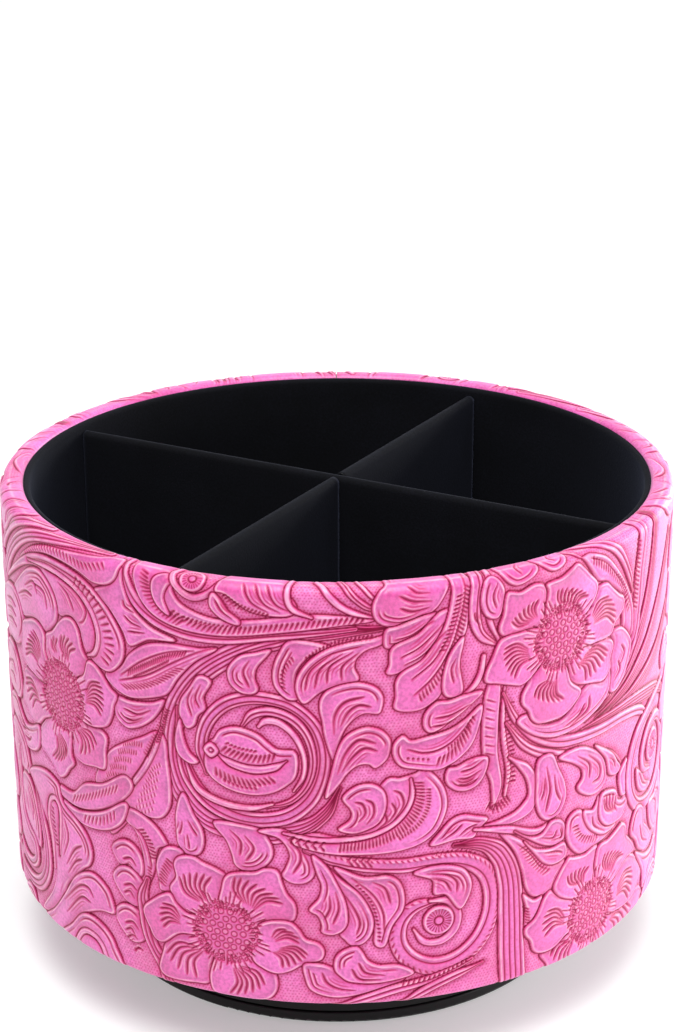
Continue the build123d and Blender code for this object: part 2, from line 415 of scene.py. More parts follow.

# %% [markdown]
# ## Pressing a shape
#
# A tooled edge has a steep wall where the knife went, a narrow raised lip, often a second fine line
# just inside it, and a soft bevel outside that sinks what lies behind. `plateau` is that section from
# the edge inwards, and `press` lays a shape and bevels its surroundings. Later shapes lie over earlier.
# Dye settles where a tool went and rubs off the lips, so each tool also marks the grids of colour. The
# pale lips are partly that wear and partly a painted highlight, and `press` also paints a shade in mauve
# just inside the upper side of each shape. A leaf may carry crescents that follow one side of it, and a
# long cut has finer ones in its hollow.

# %% Shapes, stems and knife cuts
OUTSET = 0.25
WALL_DROP, WALL_WIDTH = 0.36, 0.36
LIP_IN, LIP_WIDTH = 0.62, 0.24
LINE_IN, LINE_WIDTH, LINE_DEPTH = 1.15, 0.25, 0.12
NEST_IN, NEST_STEP = 1.5, 1.05
GROOVE = 0.28
ECHO_OUT, ECHO_STEP = 0.62, 0.8


def plateau(deep, dome=0.10, lip=0.10, line=False):
    """Height of a shape's top by the distance in from its edge."""
    z = 1.9 * dome * (1 - np.exp(-deep / 2.0)) - WALL_DROP * np.exp(-(deep / WALL_WIDTH) ** 1.5)
    z += lip * np.exp(-((deep - LIP_IN) / LIP_WIDTH) ** 2)
    if line:
        z -= LINE_DEPTH * np.exp(-((deep - LINE_IN) / LINE_WIDTH) ** 2)
    return z


def press(at, edge, top, bevel=1.7, drop=0.5, grooves=0.0, pale=0.0):
    """Lays a raised shape, bevels and dyes what lies round it, and dyes its edge and its grooves.
    Its lip is paled, partly as a painted highlight, and its upper side gets a painted shade.
    """
    strokes["raised"] += 1
    inside = edge < 0
    deep = np.clip(-edge, 0, None)
    out = np.clip(edge, 0, None)
    old = relief[at]
    ditch = np.maximum(old - drop * np.exp(-(out / (0.36 * bevel)) ** 1.3), DEEPEST)
    relief[at] = np.where(inside, top, np.minimum(old, ditch))
    matted[at] = np.where(inside, 0.0, matted[at])
    line = np.clip(1.3 * np.exp(-((edge - 0.05) / 0.18) ** 2), 0, 1)
    wall = np.maximum(0.36 * np.exp(-(deep / WALL_WIDTH) ** 2), grooves / GROOVE)
    halo = 0.33 * np.exp(-(out / 0.75) ** 1.3)
    ink[at] = np.maximum(line, np.where(inside, wall, np.maximum(ink[at], halo)))
    # pale line on the lip: partly wear of the dye, partly a painted highlight
    ridge = np.maximum(np.exp(-((deep - 0.54) / 0.17) ** 2), pale)
    crest[at] = np.where(inside, ridge, crest[at] * (1 - 3 * halo))
    # painted shade: a mauve band just inside the edge, on the shape's upper side only
    slope_h, slope_a = np.gradient(edge)
    upper = np.clip(0.65 + (0.4 * slope_a + 0.9 * slope_h) / (2 * CELL), 0, 1)
    mauve = np.clip((deep - 0.65) / 0.25, 0, 1) * np.exp(-np.clip(deep - 1.0, 0, None) / 0.8)
    shaded[at] = np.where(inside, upper * mauve, shaded[at] * (1 - 3 * halo))


def shape(outline, line=True, dome=0.10, lip=0.10, bevel=1.7, nest=None):
    """A petal, lobe or leaf by its outline. nest is (facing, count): crescents inside one side of it."""
    path = sweep(put(outline), closed=True, steps=6)
    at, a, h = window(path, 2 * bevel)
    _, offset = follow(a, h, path)
    edge = np.where(enclosed(a, h, path), -1, 1) * np.abs(offset) - OUTSET
    deep = np.clip(-edge, 0, None)
    grooves = np.zeros_like(deep)
    pale = np.zeros_like(deep)
    if nest:
        facing = math.radians(nest[0])
        slope_h, slope_a = np.gradient(edge, CELL)
        towards = slope_a * math.cos(facing) * place["flip"] + slope_h * math.sin(facing)
        for k in range(nest[1]):
            body = np.clip((towards - 0.35 - 0.12 * k) / 0.4, 0, 1)
            far_in = deep - NEST_IN - NEST_STEP * k
            grooves = np.maximum(grooves, GROOVE * body * np.exp(-(far_in / 0.20) ** 2))
            # pale ridge beside each crescent: partly wear of the dye, partly a painted highlight
            pale = np.maximum(pale, body * np.exp(-((far_in - 0.42) / 0.16) ** 2))
    press(at, edge, plateau(deep, dome, lip, line) - grooves, bevel, 0.5, grooves, pale)


def stem(points, widths, ribs=(), dome=0.10, lip=0.10, bevel=1.7, drop=0.5, ticks=None):
    """A stem along a path: half widths, ribs along it, and a row of slanted ticks."""
    path = sweep(put(points))
    half = along(widths, len(path))
    starts = lengths(path)
    at, a, h = window(path, half.max() + 2 * bevel)
    run, offset = follow(a, h, path)
    wide = np.interp(run, starts, half)
    slope = np.interp(run, starts, np.gradient(half, starts))
    edge = (np.abs(offset) - wide) / np.sqrt(1 + slope ** 2)
    deep = np.clip(-edge, 0, None)
    top = plateau(deep, dome, lip)
    across = offset / np.maximum(wide, 0.05)
    inside = np.clip(deep / 0.5, 0, 1)
    grooves = np.zeros_like(top)
    for rib in ribs:
        grooves += GROOVE * inside * np.exp(-((across - rib) * np.maximum(wide, 0.4) / 0.22) ** 2)
    if ticks:
        pitch, slant, low, high = ticks
        saw = 2 * np.abs((run + slant * offset) / pitch % 1 - 0.5)
        strip = np.clip(1.6 - 3.2 * np.abs(across - (low + high) / 2) / (high - low), 0, 1)
        grooves += 0.22 * inside * strip * np.clip(1.3 - 2.2 * saw, 0, 1)
    press(at, edge, top - grooves, bevel, drop, grooves)


def knife(points, head=0.5, tail=0.12, depth=0.42, steps=6, echo=0.5):
    """A comma-shaped cut, thin at its tail and full at its head, with finer ones in its hollow side."""
    strokes["cuts"] += 1
    path = sweep(put(points), steps=steps)
    at, a, h = window(path, head + 2.2)
    run, offset = follow(a, h, path)
    size = lengths(path)[-1]
    t = np.clip(run / size, 0, 1)
    body = np.sqrt(t * (1 - t ** 6))
    half = np.maximum(tail + (head - tail) * body, 0.16)
    groove = depth * np.clip(1.1 - (offset / half) ** 2, 0, 1) * (0.45 + 0.55 * body)
    # pale lip beside the cut: partly wear of the dye, partly a painted highlight
    lip = body * np.exp(-((np.abs(offset) - half - 0.18) / 0.16) ** 2)
    relief[at] = np.maximum(relief[at] - groove + 0.07 * lip, DEEPEST - 0.04)
    core = np.clip(1.3 - (offset / (0.58 * half)) ** 2, 0, 1) * (0.4 + 0.6 * body)
    ink[at] = np.maximum(ink[at], np.maximum(core, 0.30 * np.exp(-(offset / (half + 0.05)) ** 4)))
    crest[at] = np.maximum(crest[at], lip)
    middle = path[len(path) // 2] - path[0]
    whole = path[-1] - path[0]
    hollow = np.sign(whole[0] * middle[1] - whole[1] * middle[0])
    for k, shortest in enumerate((3.5, 5.0)):
        if echo and size > shortest:
            apart = offset * -hollow - half - ECHO_OUT - ECHO_STEP * k
            fine = np.clip(t * (1 - t) * 6 - 0.3 - 0.35 * k, 0, 1) * np.exp(-(apart / 0.18) ** 2)
            relief[at] -= 0.5 * echo * depth * fine
            ink[at] = np.maximum(ink[at], 1.2 * echo * fine)


print("pressing tools ready")

# %% [markdown]
# ## Stamps
#
# The rest of a tooled pattern is stamped: fans of cuts on a petal, rows of little marks along a vein,
# ring-shaped seeds in the middle of a flower, and a ribbed boss where a scroll ends. Each stamp here is
# built from the tools above.

# %% Fans, rows, seeds, bosses and flowers
HAIRS = 46


def fan(root, first, last, count, bulge=0.14, bend=0.20):
    """Cuts that start near a root and sweep to an arc of tips, all bent the same way, like a wing."""
    root = np.array(root)
    first = root + 1.16 * (np.array(first) - root)
    last = root + 1.16 * (np.array(last) - root)
    reach = min(0.8, 1 - 0.45 * (count - 1) / np.hypot(*(last - first)))
    near, far = first - root, last - root
    sway = bend if near[0] * far[1] < near[1] * far[0] else -bend
    for f in np.linspace(0, 1, count):
        tip = first * (1 - f) + last * f
        tip = tip + (tip - root) * bulge * 4 * f * (1 - f)
        tail = tip + (root - tip) * reach
        middle = (tip + tail) / 2 + sway * np.array([tail[1] - tip[1], tip[0] - tail[0]])
        knife([tail, middle, tip], 0.66, echo=0)


def marks(points, count, length=1.6, tilt=60, head=0.42, depth=0.36):
    """A row of short stamped marks across a path."""
    path = sweep(points, steps=8)
    starts = lengths(path)
    for i in range(count):
        t = (i + 0.5) / count * starts[-1]
        x, x1 = np.interp([t, t + 0.3], starts, path[:, 0])
        y, y1 = np.interp([t, t + 0.3], starts, path[:, 1])
        angle = math.atan2(y1 - y, x1 - x) + math.radians(tilt)
        dx = math.cos(angle) * length / 2
        dy = math.sin(angle) * length / 2
        knife([(x - dx, y - dy), (x + dx, y + dy)], 1.2 * head, 0.2, depth, 2)


def seed_head(centre, radius, hair):
    """A flower's middle: ring-shaped seeds, small ones round them, and two rows of fine hairs."""
    c = put([centre])[0]
    at, a, h = window(c[None], radius + 1)
    d = np.hypot(a - c[0], h - c[1])
    inside = d < radius + 0.3
    relief[at] = np.where(inside, 0.02 + 0.12 * np.clip(1 - (d / radius) ** 2, 0, 1), relief[at])
    matted[at] = np.where(inside, 0.0, matted[at])
    shaded[at] = np.where(inside, 0.0, shaded[at])
    ink[at] = np.where(inside, 0.20, ink[at])
    crest[at] = np.where(inside, 0.0, crest[at])
    for i in range(2 * HAIRS):
        angle = math.pi * (i + 0.4 * math.sin(2.4 * i)) / HAIRS
        reach = (hair if i % 2 else radius + 0.5) * (0.86 + 0.14 * math.sin(3.7 * i))
        start = (radius - 0.4) if i % 2 else 0.72 * radius
        dx, dy = math.cos(angle), math.sin(angle)
        near = (centre[0] + dx * start, centre[1] + dy * start)
        knife([near, (centre[0] + dx * reach, centre[1] + dy * reach)], 0.30, 0.24, 0.38, 3, 0)
    random = np.random.default_rng(7)
    core = 0.74 * radius
    for pitch, ring, low, high in ((2.15, 0.74, 0.0, core), (1.25, 0.36, core + 0.4, radius + 0.2)):
        count = int(radius / pitch) + 1
        for j in range(-count, count + 1):
            for i in range(-count, count + 1):
                x = (i + 0.5 * (j % 2)) * pitch + random.uniform(-0.18, 0.18)
                y = j * pitch * 0.87 + random.uniform(-0.18, 0.18)
                if low <= math.hypot(x, y) < high:
                    r = np.hypot(a - c[0] - x, h - c[1] - y)
                    groove = np.exp(-((r - ring) / 0.20) ** 2)
                    relief[at] -= 0.34 * groove
                    ink[at] = np.maximum(ink[at], 0.75 * groove)
                    # pale spot on each seed's dome: partly wear of the dye, partly a painted highlight
                    crest[at] = np.maximum(crest[at], 0.6 * np.exp(-((r - 0.5 * ring) / 0.17) ** 2))
    relief[at] = np.maximum(relief[at], DEEPEST)


def boss(centre, radius, spokes=22):
    """The round ribbed end of a scroll."""
    c = put([centre])[0]
    at, a, h = window(c[None], radius + 3)
    d = np.hypot(a - c[0], h - c[1])
    angle = np.arctan2(h - c[1], a - c[0])
    top = plateau(np.clip(radius - d, 0, None), 0.05)
    spoke = np.clip(1.2 - 4 * np.abs(angle * spokes / (2 * np.pi) % 1 - 0.5), 0, 1)
    grooves = 0.26 * spoke * ((d > radius * 0.3) & (d < radius - 0.9))
    grooves += 0.30 * np.exp(-((d - radius * 0.28) / 0.22) ** 2)
    press(at, d - radius, top - grooves, grooves=grooves)


def flower(centre, seeds, hair, petals):
    """Petals as (outline, fans of cuts), laid one over another, and a seed head on top."""
    for outline, fans in petals:
        shape(outline, bevel=2.0)
        for points in fans:
            fan(*points)
    seed_head(centre, seeds, hair)


print("stamps ready")

# %% [markdown]
# ## The round scroll
#
# The middle of the pattern is a scroll: a ribbed sheath sweeps down from the top, goes round, and closes
# on a bud. It is drawn first, because the leaves beside it lie over its edges. A spline with a changing
# half width makes the sheath, and its ribs are grooves at fixed shares of that width.

# %% Draw the scroll
# wide sheath that sweeps down the left and round the scroll
stem([(12, 97), (0, 96.3), (-12, 94.3), (-22, 90.8), (-31, 85), (-37, 78), (-40.3, 70), (-41, 61),
      (-38.5, 53), (-33.5, 47.5), (-26, 44.6), (-18, 44), (-9, 46), (-3, 50.5), (0.3, 57)],
     (0.6, 1.6, 2.3, 2.6, 2.9, 3.1, 3.2, 3.2, 3.0, 2.8, 2.4, 1.6, 0.5), ribs=(-0.55, -0.2, 0.2, 0.6),
     drop=0.55)
# the scroll's own round band
stem([(-39, 74), (-38.5, 64), (-36, 56), (-30.5, 50.5), (-22, 47.8), (-13, 49), (-7, 53.5), (-4, 60),
      (-3.6, 67), (-6, 73.5), (-11.5, 78), (-19, 79.2), (-26, 77.2), (-31, 72), (-33, 65), (-31.6, 58.5)],
     (0.4, 1.4, 1.9, 2.0, 2.0, 2.0, 1.9, 1.7, 1.6, 1.5, 1.5, 1.6, 1.7, 1.7, 1.5, 0.8), ribs=(0.5, -0.3),
     lip=0.14, drop=0.6)
# crescents nested inside the scroll
stem([(-22.5, 71.8), (-20, 75), (-15.5, 76), (-10.5, 74.2), (-7.2, 70), (-5.9, 64), (-7.2, 58),
      (-11, 53.5), (-17, 51.3)], (0.5, 1.1, 1.2, 1.2, 1.0, 0.9, 0.8, 0.7, 0.4), ribs=(0,))
stem([(-18.6, 72), (-16.8, 73.6), (-13.5, 73.2), (-10, 70), (-8, 65), (-8.2, 60), (-10.5, 56)],
     (0.5, 0.9, 0.9, 0.8, 0.7, 0.6, 0.3))
stem([(-37, 60), (-34, 54), (-28, 51.3), (-21, 50.8), (-15.5, 52.3)], (0.4, 0.9, 0.9, 0.8, 0.4))
# the bud in its middle
shape([(-29.6, 67.5), (-28, 69.9), (-25, 71.2), (-22, 71), (-18.6, 69.8), (-16.4, 68), (-14, 66.4),
       (-10.4, 66.3), (-9.5, 64), (-10, 60), (-12, 57.6), (-15.5, 55.4), (-20, 54.4), (-25, 54.9),
       (-29, 56.6), (-31.4, 59), (-32, 62), (-31.2, 66)], dome=0.14, nest=(80, 1))
stem([(-29.2, 64), (-25, 61.8), (-20, 60.9), (-15.3, 61.8), (-12, 63.8)], (0.3, 1.0, 1.1, 1.0, 0.2),
     drop=0.7, bevel=1.2)
marks([(-27.6, 65.6), (-23.5, 64.4), (-19, 63.9), (-14.6, 64.6)], 12, 2.4, 62, 0.56)
marks([(-26.6, 67.2), (-23.5, 66.2), (-19, 65.7)], 8, 1.0, 40, 0.42)
marks([(-29.6, 59.6), (-25.5, 58.1), (-20.5, 57.5), (-15, 59)], 13, 2.3, -62, 0.56)
marks([(-27.6, 57.6), (-23.5, 56.4), (-19, 56.2)], 8, 1.0, -40, 0.42)
shape([(-32.2, 64.6), (-30.4, 66.4), (-28.6, 64.6), (-30.4, 62.8)], dome=0.05)
knife([(-31.1, 64.6), (-30.4, 65.2), (-29.7, 64.6), (-30.4, 64), (-31.1, 64.6)], 0.3, 0.26)
print("scroll:", tally())

# %% Draw the leaves beside the scroll
# small leaves left of the scroll
shape([(-35.5, 79.5), (-37.8, 76), (-38.2, 72), (-36.5, 69.3), (-34.5, 70.3), (-33.5, 73), (-31.6, 75),
       (-32, 78), (-30, 82), (-33, 83)])
knife([(-34.5, 80), (-36, 76.5), (-35, 72.5)])
knife([(-32.5, 81), (-34, 77.5), (-33, 75)])
shape([(-39.6, 66), (-38.8, 62), (-35.8, 60.2), (-33.8, 61), (-36, 63), (-37.5, 66.5), (-38.3, 71)])
# lobes that hang from the sheath above the scroll
shape([(-19, 90.5), (-22.8, 89.3), (-25.6, 86), (-25.4, 82.6), (-23, 80.4), (-20, 80.2), (-18.6, 81.5),
       (-19.4, 84), (-18.8, 87), (-15.5, 91.3)], nest=(200, 2))
knife([(-20.5, 88.5), (-22, 85.5), (-20.6, 81.8)], 0.6)
shape([(-10.5, 94), (-13.6, 90.5), (-15, 86), (-14.4, 82.2), (-11.5, 79.5), (-9, 80), (-10, 83.5),
       (-9.4, 87), (-6.5, 90.5), (-2, 92.8)], nest=(190, 2))
marks([(-12.6, 82), (-12.6, 86), (-10.2, 90)], 9, 1.3, 60, 0.35)
# almond leaf
shape([(-60, 77.6), (-55, 80.5), (-52, 84.6), (-47, 88.2), (-41, 89.6), (-33, 89.8), (-28.5, 90.3),
       (-34, 86.5), (-38.5, 81.5), (-41.5, 77), (-46, 75), (-52, 73.6), (-57, 74.8)], line=False,
      dome=0.15, lip=0.08)
knife([(-28.5, 90.6), (-33, 89), (-40, 85), (-47, 80.6), (-55, 77.4)], 0.42, 0.3)
knife([(-34, 89.2), (-41, 87.6), (-48, 84), (-54.5, 78.9)], 0.36, 0.26)
marks([(-52.5, 79.8), (-47, 83.2), (-41, 86.6), (-36, 88.2)], 26, 1.7, 50, 0.36)
marks([(-50.8, 79.2), (-45.5, 82.4), (-40.5, 85.6)], 20, 1.0, 35, 0.32)
marks([(-54, 76), (-48, 77.7), (-43, 80.3), (-37.5, 84.4)], 18, 2.4, -38, 0.28, 0.22)
# small curled leaf under it
shape([(-56.5, 72.5), (-52, 72.6), (-46, 73.6), (-42.5, 75), (-44.5, 71), (-47.5, 68), (-51, 66),
       (-54, 65.6), (-57.2, 68.2)], nest=(-115, 2))
knife([(-46, 71.8), (-50, 69.8), (-54.2, 70.3)], 0.55)
knife([(-48.5, 69.3), (-51.4, 67.8), (-54, 68)], 0.55)
# broad smooth leaf with a veined middle, left of the sheath
shape([(-45, 66.3), (-49, 64), (-54.5, 61), (-59.5, 57.4), (-64, 51), (-65, 44), (-62, 38.5), (-60, 35.2),
       (-56, 38.6), (-52, 43.5), (-48, 43.2), (-44, 44.2), (-41.6, 48), (-41.4, 54), (-42, 60),
       (-42.5, 65)], line=False, dome=0.16, lip=0.09)
stem([(-43.5, 67.5), (-45.5, 62), (-49, 55.5), (-54.5, 48.5), (-61, 42.5)], (0.5, 0.9, 0.9, 0.8, 0.5),
     drop=0.25, bevel=1.2)
for row in range(8):
    x, y = -48.6 - 1.7 * row, 62.2 - 2.5 * row
    marks([(x, y), (x - 3.2, y - 0.3), (x - 6.4 + 0.3 * row, y - 1.4)], 9 - row // 2, 1.3, 80, 0.26, 0.2)
for row in range(7):
    x, y = -43.6 - 0.4 * row, 58.4 - 2.0 * row
    marks([(x, y), (x - 2.2, y - 1.6), (x - 3.6 - 0.5 * row, y - 3.6)], 6, 1.0, 70, 0.22, 0.16)
marks([(-42, 73.5), (-43.4, 69), (-45.6, 64), (-48, 59.5)], 18, 1.8, 62, 0.4)
marks([(-41.2, 73), (-42.6, 68.5), (-44.6, 63.6)], 15, 1.4, -62, 0.36)
print("leaves by the scroll:", tally())

# %% [markdown]
# ## Border along the rim
#
# Above the scroll an S-shaped leaf runs along the rim with rows of slanted stamps, a small rosette and a
# few stems that go on over the edge. Some points lie above 108 mm, the height of the wall: the sheet is
# folded over the rim there, and the pattern goes with it.

# %% Draw the rim border
# s-shaped leaf along the top, with rows of tool marks
stem([(-54, 116), (-53.4, 106), (-50.5, 99.5), (-45, 95.2), (-37, 93), (-27, 92.9), (-14, 94.9), (4, 97)],
     (1.8, 1.7, 1.6, 1.5, 1.3, 1.2, 1.0, 0.5), ribs=(0.1,))
shape([(-49.5, 112), (-50, 105), (-48, 99.4), (-43.5, 95.8), (-36, 94), (-26, 94), (-14, 95.8), (0, 98),
       (8, 99), (3, 100), (-8, 100.3), (-18, 98.6), (-28, 97.6), (-36, 99.5), (-39.4, 103), (-40, 108),
       (-39, 114)], line=False, dome=0.08)
marks([(-47, 107), (-46.2, 102), (-42.6, 98), (-37, 95.6)], 17, 2.6, 62, 0.52)
marks([(-40, 98.2), (-34, 95.8), (-26, 95.3), (-14, 97.2), (0, 99), (6, 99)], 38, 2.0, 55, 0.52)
marks([(-37, 97.2), (-30, 96.3), (-22, 96.3)], 14, 1.2, 40, 0.36)
shape([(-40.5, 107.5), (-44, 106), (-45, 102.5), (-43.6, 99), (-40.4, 97), (-41.8, 101), (-40.5, 104.4),
       (-38.5, 106)])
# small rosette at the rim
stem([(-26, 112), (-27.5, 107), (-30.5, 103.6), (-34.6, 102.3), (-38.3, 104.4), (-39.8, 108),
      (-38, 112.4)], (0.8, 0.9, 0.9, 0.9, 0.9, 0.9, 0.8), lip=0.14)
boss((-34.5, 107), 3.4, 20)
shape([(-29.4, 104), (-29.9, 101), (-27.5, 98.4), (-23.5, 97), (-22.8, 98), (-25.5, 100), (-27.6, 103)])
knife([(-24.5, 98.4), (-27, 100), (-28.6, 102.6)], 0.45)
# feathered leaf to the right of the rosette
shape([(-28.5, 105), (-26, 104.3), (-20, 100.6), (-12, 100), (-9.5, 102), (-11.5, 106), (-12, 112),
       (-24, 114), (-27, 109)], line=False)
marks([(-26.8, 104), (-22.5, 101.5), (-16, 99.7)], 13, 1.8, 62, 0.42)
for x in (-22, -19.2, -16.4):
    knife([(x + 6, 100.8), (x + 2, 103), (x, 107.5)], 0.55)
stem([(-6, 99.8), (-10.4, 101.8), (-11.6, 105.5), (-10.6, 112)], (0.4, 0.8, 0.8, 0.7), lip=0.14)
stem([(9, 99.4), (2.5, 101.4), (-1.5, 104.5), (-5, 110)], (0.3, 0.8, 0.9, 0.8), lip=0.14)
stem([(10, 100.5), (5.6, 103), (2.4, 106.4), (0, 112)], (0.3, 0.8, 0.9, 0.8), lip=0.14, ribs=(0,))
stem([(11, 102), (8, 104.4), (5.4, 108), (4, 112)], (0.2, 0.5, 0.6, 0.5))
# leaf star at the far left of the top
shape([(-63, 98), (-58.5, 100.6), (-55.6, 105), (-53.8, 106), (-53.2, 102), (-51, 97), (-45.8, 93),
       (-39, 90.8), (-46, 89.8), (-51.6, 87), (-54, 90.5), (-58, 95)], dome=0.12)
knife([(-50, 95.6), (-52.6, 96.6), (-53.2, 98.2)])
knife([(-48, 92.4), (-51, 93), (-53, 94.4)])
knife([(-47, 91.2), (-50, 90.8), (-52, 90.6)])
print("rim border:", tally())

# %% [markdown]
# ## Lower flower, drops and beads
#
# Flowers of six petals are the largest shapes. Each petal is its own outline, so that the petals overlap
# in the order in which they are laid, and each has a fan of comma cuts that point to the seed head.

# %% Draw the drops and beads
# drops that hang from the sheath
shape([(-38, 52), (-40, 46.5), (-40, 41), (-39.6, 38), (-38, 36.1), (-36, 35.7), (-33.8, 37), (-32.8, 40),
       (-33.3, 43.5), (-35.4, 47)], nest=(-80, 1))
for c in ([(-38.3, 44.6), (-38.6, 42.8), (-39.2, 41)], [(-37, 41.4), (-36.8, 39.6), (-36.6, 37.6)],
        [(-36.8, 45.2), (-35.7, 43.2), (-34.4, 41.4)]):
    knife(c)
shape([(-30, 46), (-27, 41.6), (-25.6, 38), (-25, 35.6), (-23, 34.1), (-20, 34.4), (-17.5, 36),
       (-15.8, 38.6), (-16, 41.6), (-18, 44.6), (-21, 46)], nest=(-60, 2))
knife([(-26, 44.6), (-23.4, 41.8), (-23.6, 38.2)], 0.6)
knife([(-22.4, 43.6), (-20.2, 40.4), (-22, 37)], 0.6)
shape([(-19, 45), (-14, 43.6), (-11.5, 39.6), (-12.4, 36), (-13.4, 33.6), (-11, 32), (-8, 32.2), (-6, 34),
       (-5.8, 37), (-7, 40), (-10, 44), (-14, 46)], nest=(-20, 2))
knife([(-12.6, 44), (-9.6, 41), (-9, 38), (-10.8, 34.6)], 0.65)
# leaf and bead lobes at the left
shape([(-53, 44), (-46.5, 41.6), (-42.8, 37), (-45.4, 35.6), (-46.6, 32), (-47, 28.8), (-49, 24),
       (-50, 20.8), (-50.8, 26), (-50, 32), (-52, 38.4), (-56, 41)], line=False)
marks([(-50.5, 39.6), (-47.6, 36), (-46.9, 32)], 9, 2.2, 66)
knife([(-53, 39.6), (-50, 37.8), (-48.2, 34), (-47.4, 29.6)], 0.5, 0.26)
marks([(-48, 30), (-48.2, 26.6), (-49.4, 22)], 9, 1.3, 60)
shape([(-45.4, 27), (-46, 31), (-44.2, 35.4), (-41.4, 36.9), (-38.6, 36), (-40.9, 32), (-40.8, 28.6),
       (-42.4, 25), (-45, 24.4)])
marks([(-44.6, 26), (-43.6, 29.6), (-41.9, 33)], 9, 2.6, 72)
for top, deep in ((34.8, 28.4), (27.6, 20.6), (17.2, 10.6)):
    shape([(-59.8, deep + 2.4), (-58, top - 1), (-54.8, top), (-51.8, top - 1.4), (-50.2, top - 4.4),
           (-50.8, deep - 2), (-55, deep - 3)], nest=(100, 1))
    knife([(-52, top - 6), (-53.8, top - 4.3), (-56.2, top - 5.2)], 0.62)
    knife([(-53, top - 8), (-54.4, top - 6.3), (-56.4, top - 7.3)], 0.55)
stem([(-49, 26), (-50.6, 20), (-49.2, 11), (-45.6, 4), (-43, -3)], (0.8, 1.6, 1.7, 1.6, 1.4),
     ribs=(-0.2, 0.4))
knife([(-52.5, 8.5), (-54, 9.2), (-56, 7.8)], 0.6)
knife([(-51, 5.6), (-52.6, 5.8), (-54, 4.6)], 0.6)
print("drops and beads:", tally())

# %% Draw the lower flower
flower((-27.6, 16.8), 8.2, 11.8, [
    ([(-38, 19.6), (-41.6, 23.2), (-42.2, 26), (-40.5, 29), (-41, 32.5), (-39.5, 34.7),
      (-36, 35.5), (-33, 34.4), (-30, 33.5), (-27.6, 32), (-28, 28), (-27, 20)],
     [((-32.5, 22), (-38.6, 28.4), (-31.2, 30), 6)]),
    ([(-28.4, 22), (-28.3, 29), (-27, 32.2), (-24, 33.4), (-20, 34), (-17.5, 35.2), (-14.6, 34.8),
      (-13.6, 32), (-12.5, 29), (-10.6, 26.5), (-10.3, 23.5), (-11.6, 21.4), (-17, 20)],
     [((-22.4, 23.4), (-24.6, 31), (-14.6, 26), 8, 0.22)]),
    ([(-31, 12), (-32, 6), (-32.3, 2), (-36, 1.2), (-41, 0.7), (-44.6, 1), (-46, 3), (-45, 7),
      (-44, 10.2), (-41.5, 12.9), (-37.5, 14.5), (-33, 16)],
     [((-33, 12.6), (-42.4, 8), (-35.2, 4), 5)]),
    ([(-20, 12), (-17, 8.6), (-15.2, 6.4), (-15, 3), (-16.6, 0.4), (-20, -1), (-26, -1),
      (-30.6, -0.4), (-31.9, 3), (-31.2, 7), (-28, 14)],
     [((-25.4, 9.6), (-19, 4.6), (-26.6, 1.4), 6)]),
    ([(-34, 15), (-40, 13.8), (-44.4, 10.3), (-47, 10.4), (-48.6, 13), (-50.3, 16.5), (-50, 18.6),
      (-48, 20.6), (-45, 23), (-42.4, 24), (-40.8, 21.8), (-38, 19.8), (-34, 19)],
     [((-37.6, 17.4), (-43.6, 20.4), (-43.6, 14.8), 5)]),
    ([(-20, 18.5), (-17, 21.1), (-12, 21.4), (-9.6, 19.5), (-8, 17), (-5, 16), (-3.6, 14),
      (-4.2, 11.6), (-7, 10.5), (-9.5, 9.5), (-12, 8), (-15, 7.2), (-18.2, 8.2), (-21, 11)],
     [((-17, 15), (-8.8, 13.2), (-14, 9.8), 6), ((-17.6, 16.2), (-13.2, 19), (-10.6, 16), 4)]),
])
print("lower flower:", tally())

# %% [markdown]
# ## Spiral and upright stems
#
# To the right a long stem winds into a tight spiral with a ribbed boss at its end, and a bundle of plain
# stems runs straight down to the drum's lower edge.

# %% Draw the spiral
# long stem that runs right and winds down into the spiral
stem([(-8, 40.6), (-2, 38.4), (6, 36.8), (15, 36), (24, 36.2), (31, 35), (36, 31.4), (38.2, 25.4),
      (37.6, 18.6), (34.4, 12.6), (28.8, 8.6), (22.4, 8), (16.8, 11), (14.2, 16), (15, 21.4),
      (18.6, 24.8), (23.4, 25.5)],
     (0.6, 1.4, 1.8, 1.9, 2.0, 2.2, 2.4, 2.5, 2.5, 2.5, 2.5, 2.5, 2.4, 2.2, 2.0, 1.6, 0.9), drop=0.6,
     ribs=(-0.35,), ticks=(1.5, 0.9, 0.35, 0.95))
stem([(22, 25.8), (26.4, 25.2), (29, 21.8), (28.4, 17.4), (25, 14.6), (20.6, 15), (18, 18.6)],
     (0.5, 1.0, 1.1, 1.1, 1.0, 0.9, 0.4), lip=0.12)
boss((24.2, 20.3), 4.0, 22)
marks([(2, 38.8), (8, 38.2)], 4, 2.2, 48)
marks([(2, 37.6), (8, 37)], 4, 2.2, -48)
marks([(23, 38.2), (30, 37.8), (33.6, 36.2)], 9, 1.2, 48, 0.36)
# hooked leaf over it
shape([(18, 33.6), (22.6, 31.4), (23, 27.6), (26, 27), (29.4, 22.6), (31.6, 25), (32.5, 29), (30.4, 33),
       (26, 34.8), (21, 34.8)], nest=(40, 2))
knife([(21, 33.4), (26, 32.3), (28.6, 30), (28.6, 27.4)], 0.62)
knife([(22, 32), (25.5, 30.6), (27.2, 27.8)], 0.6)
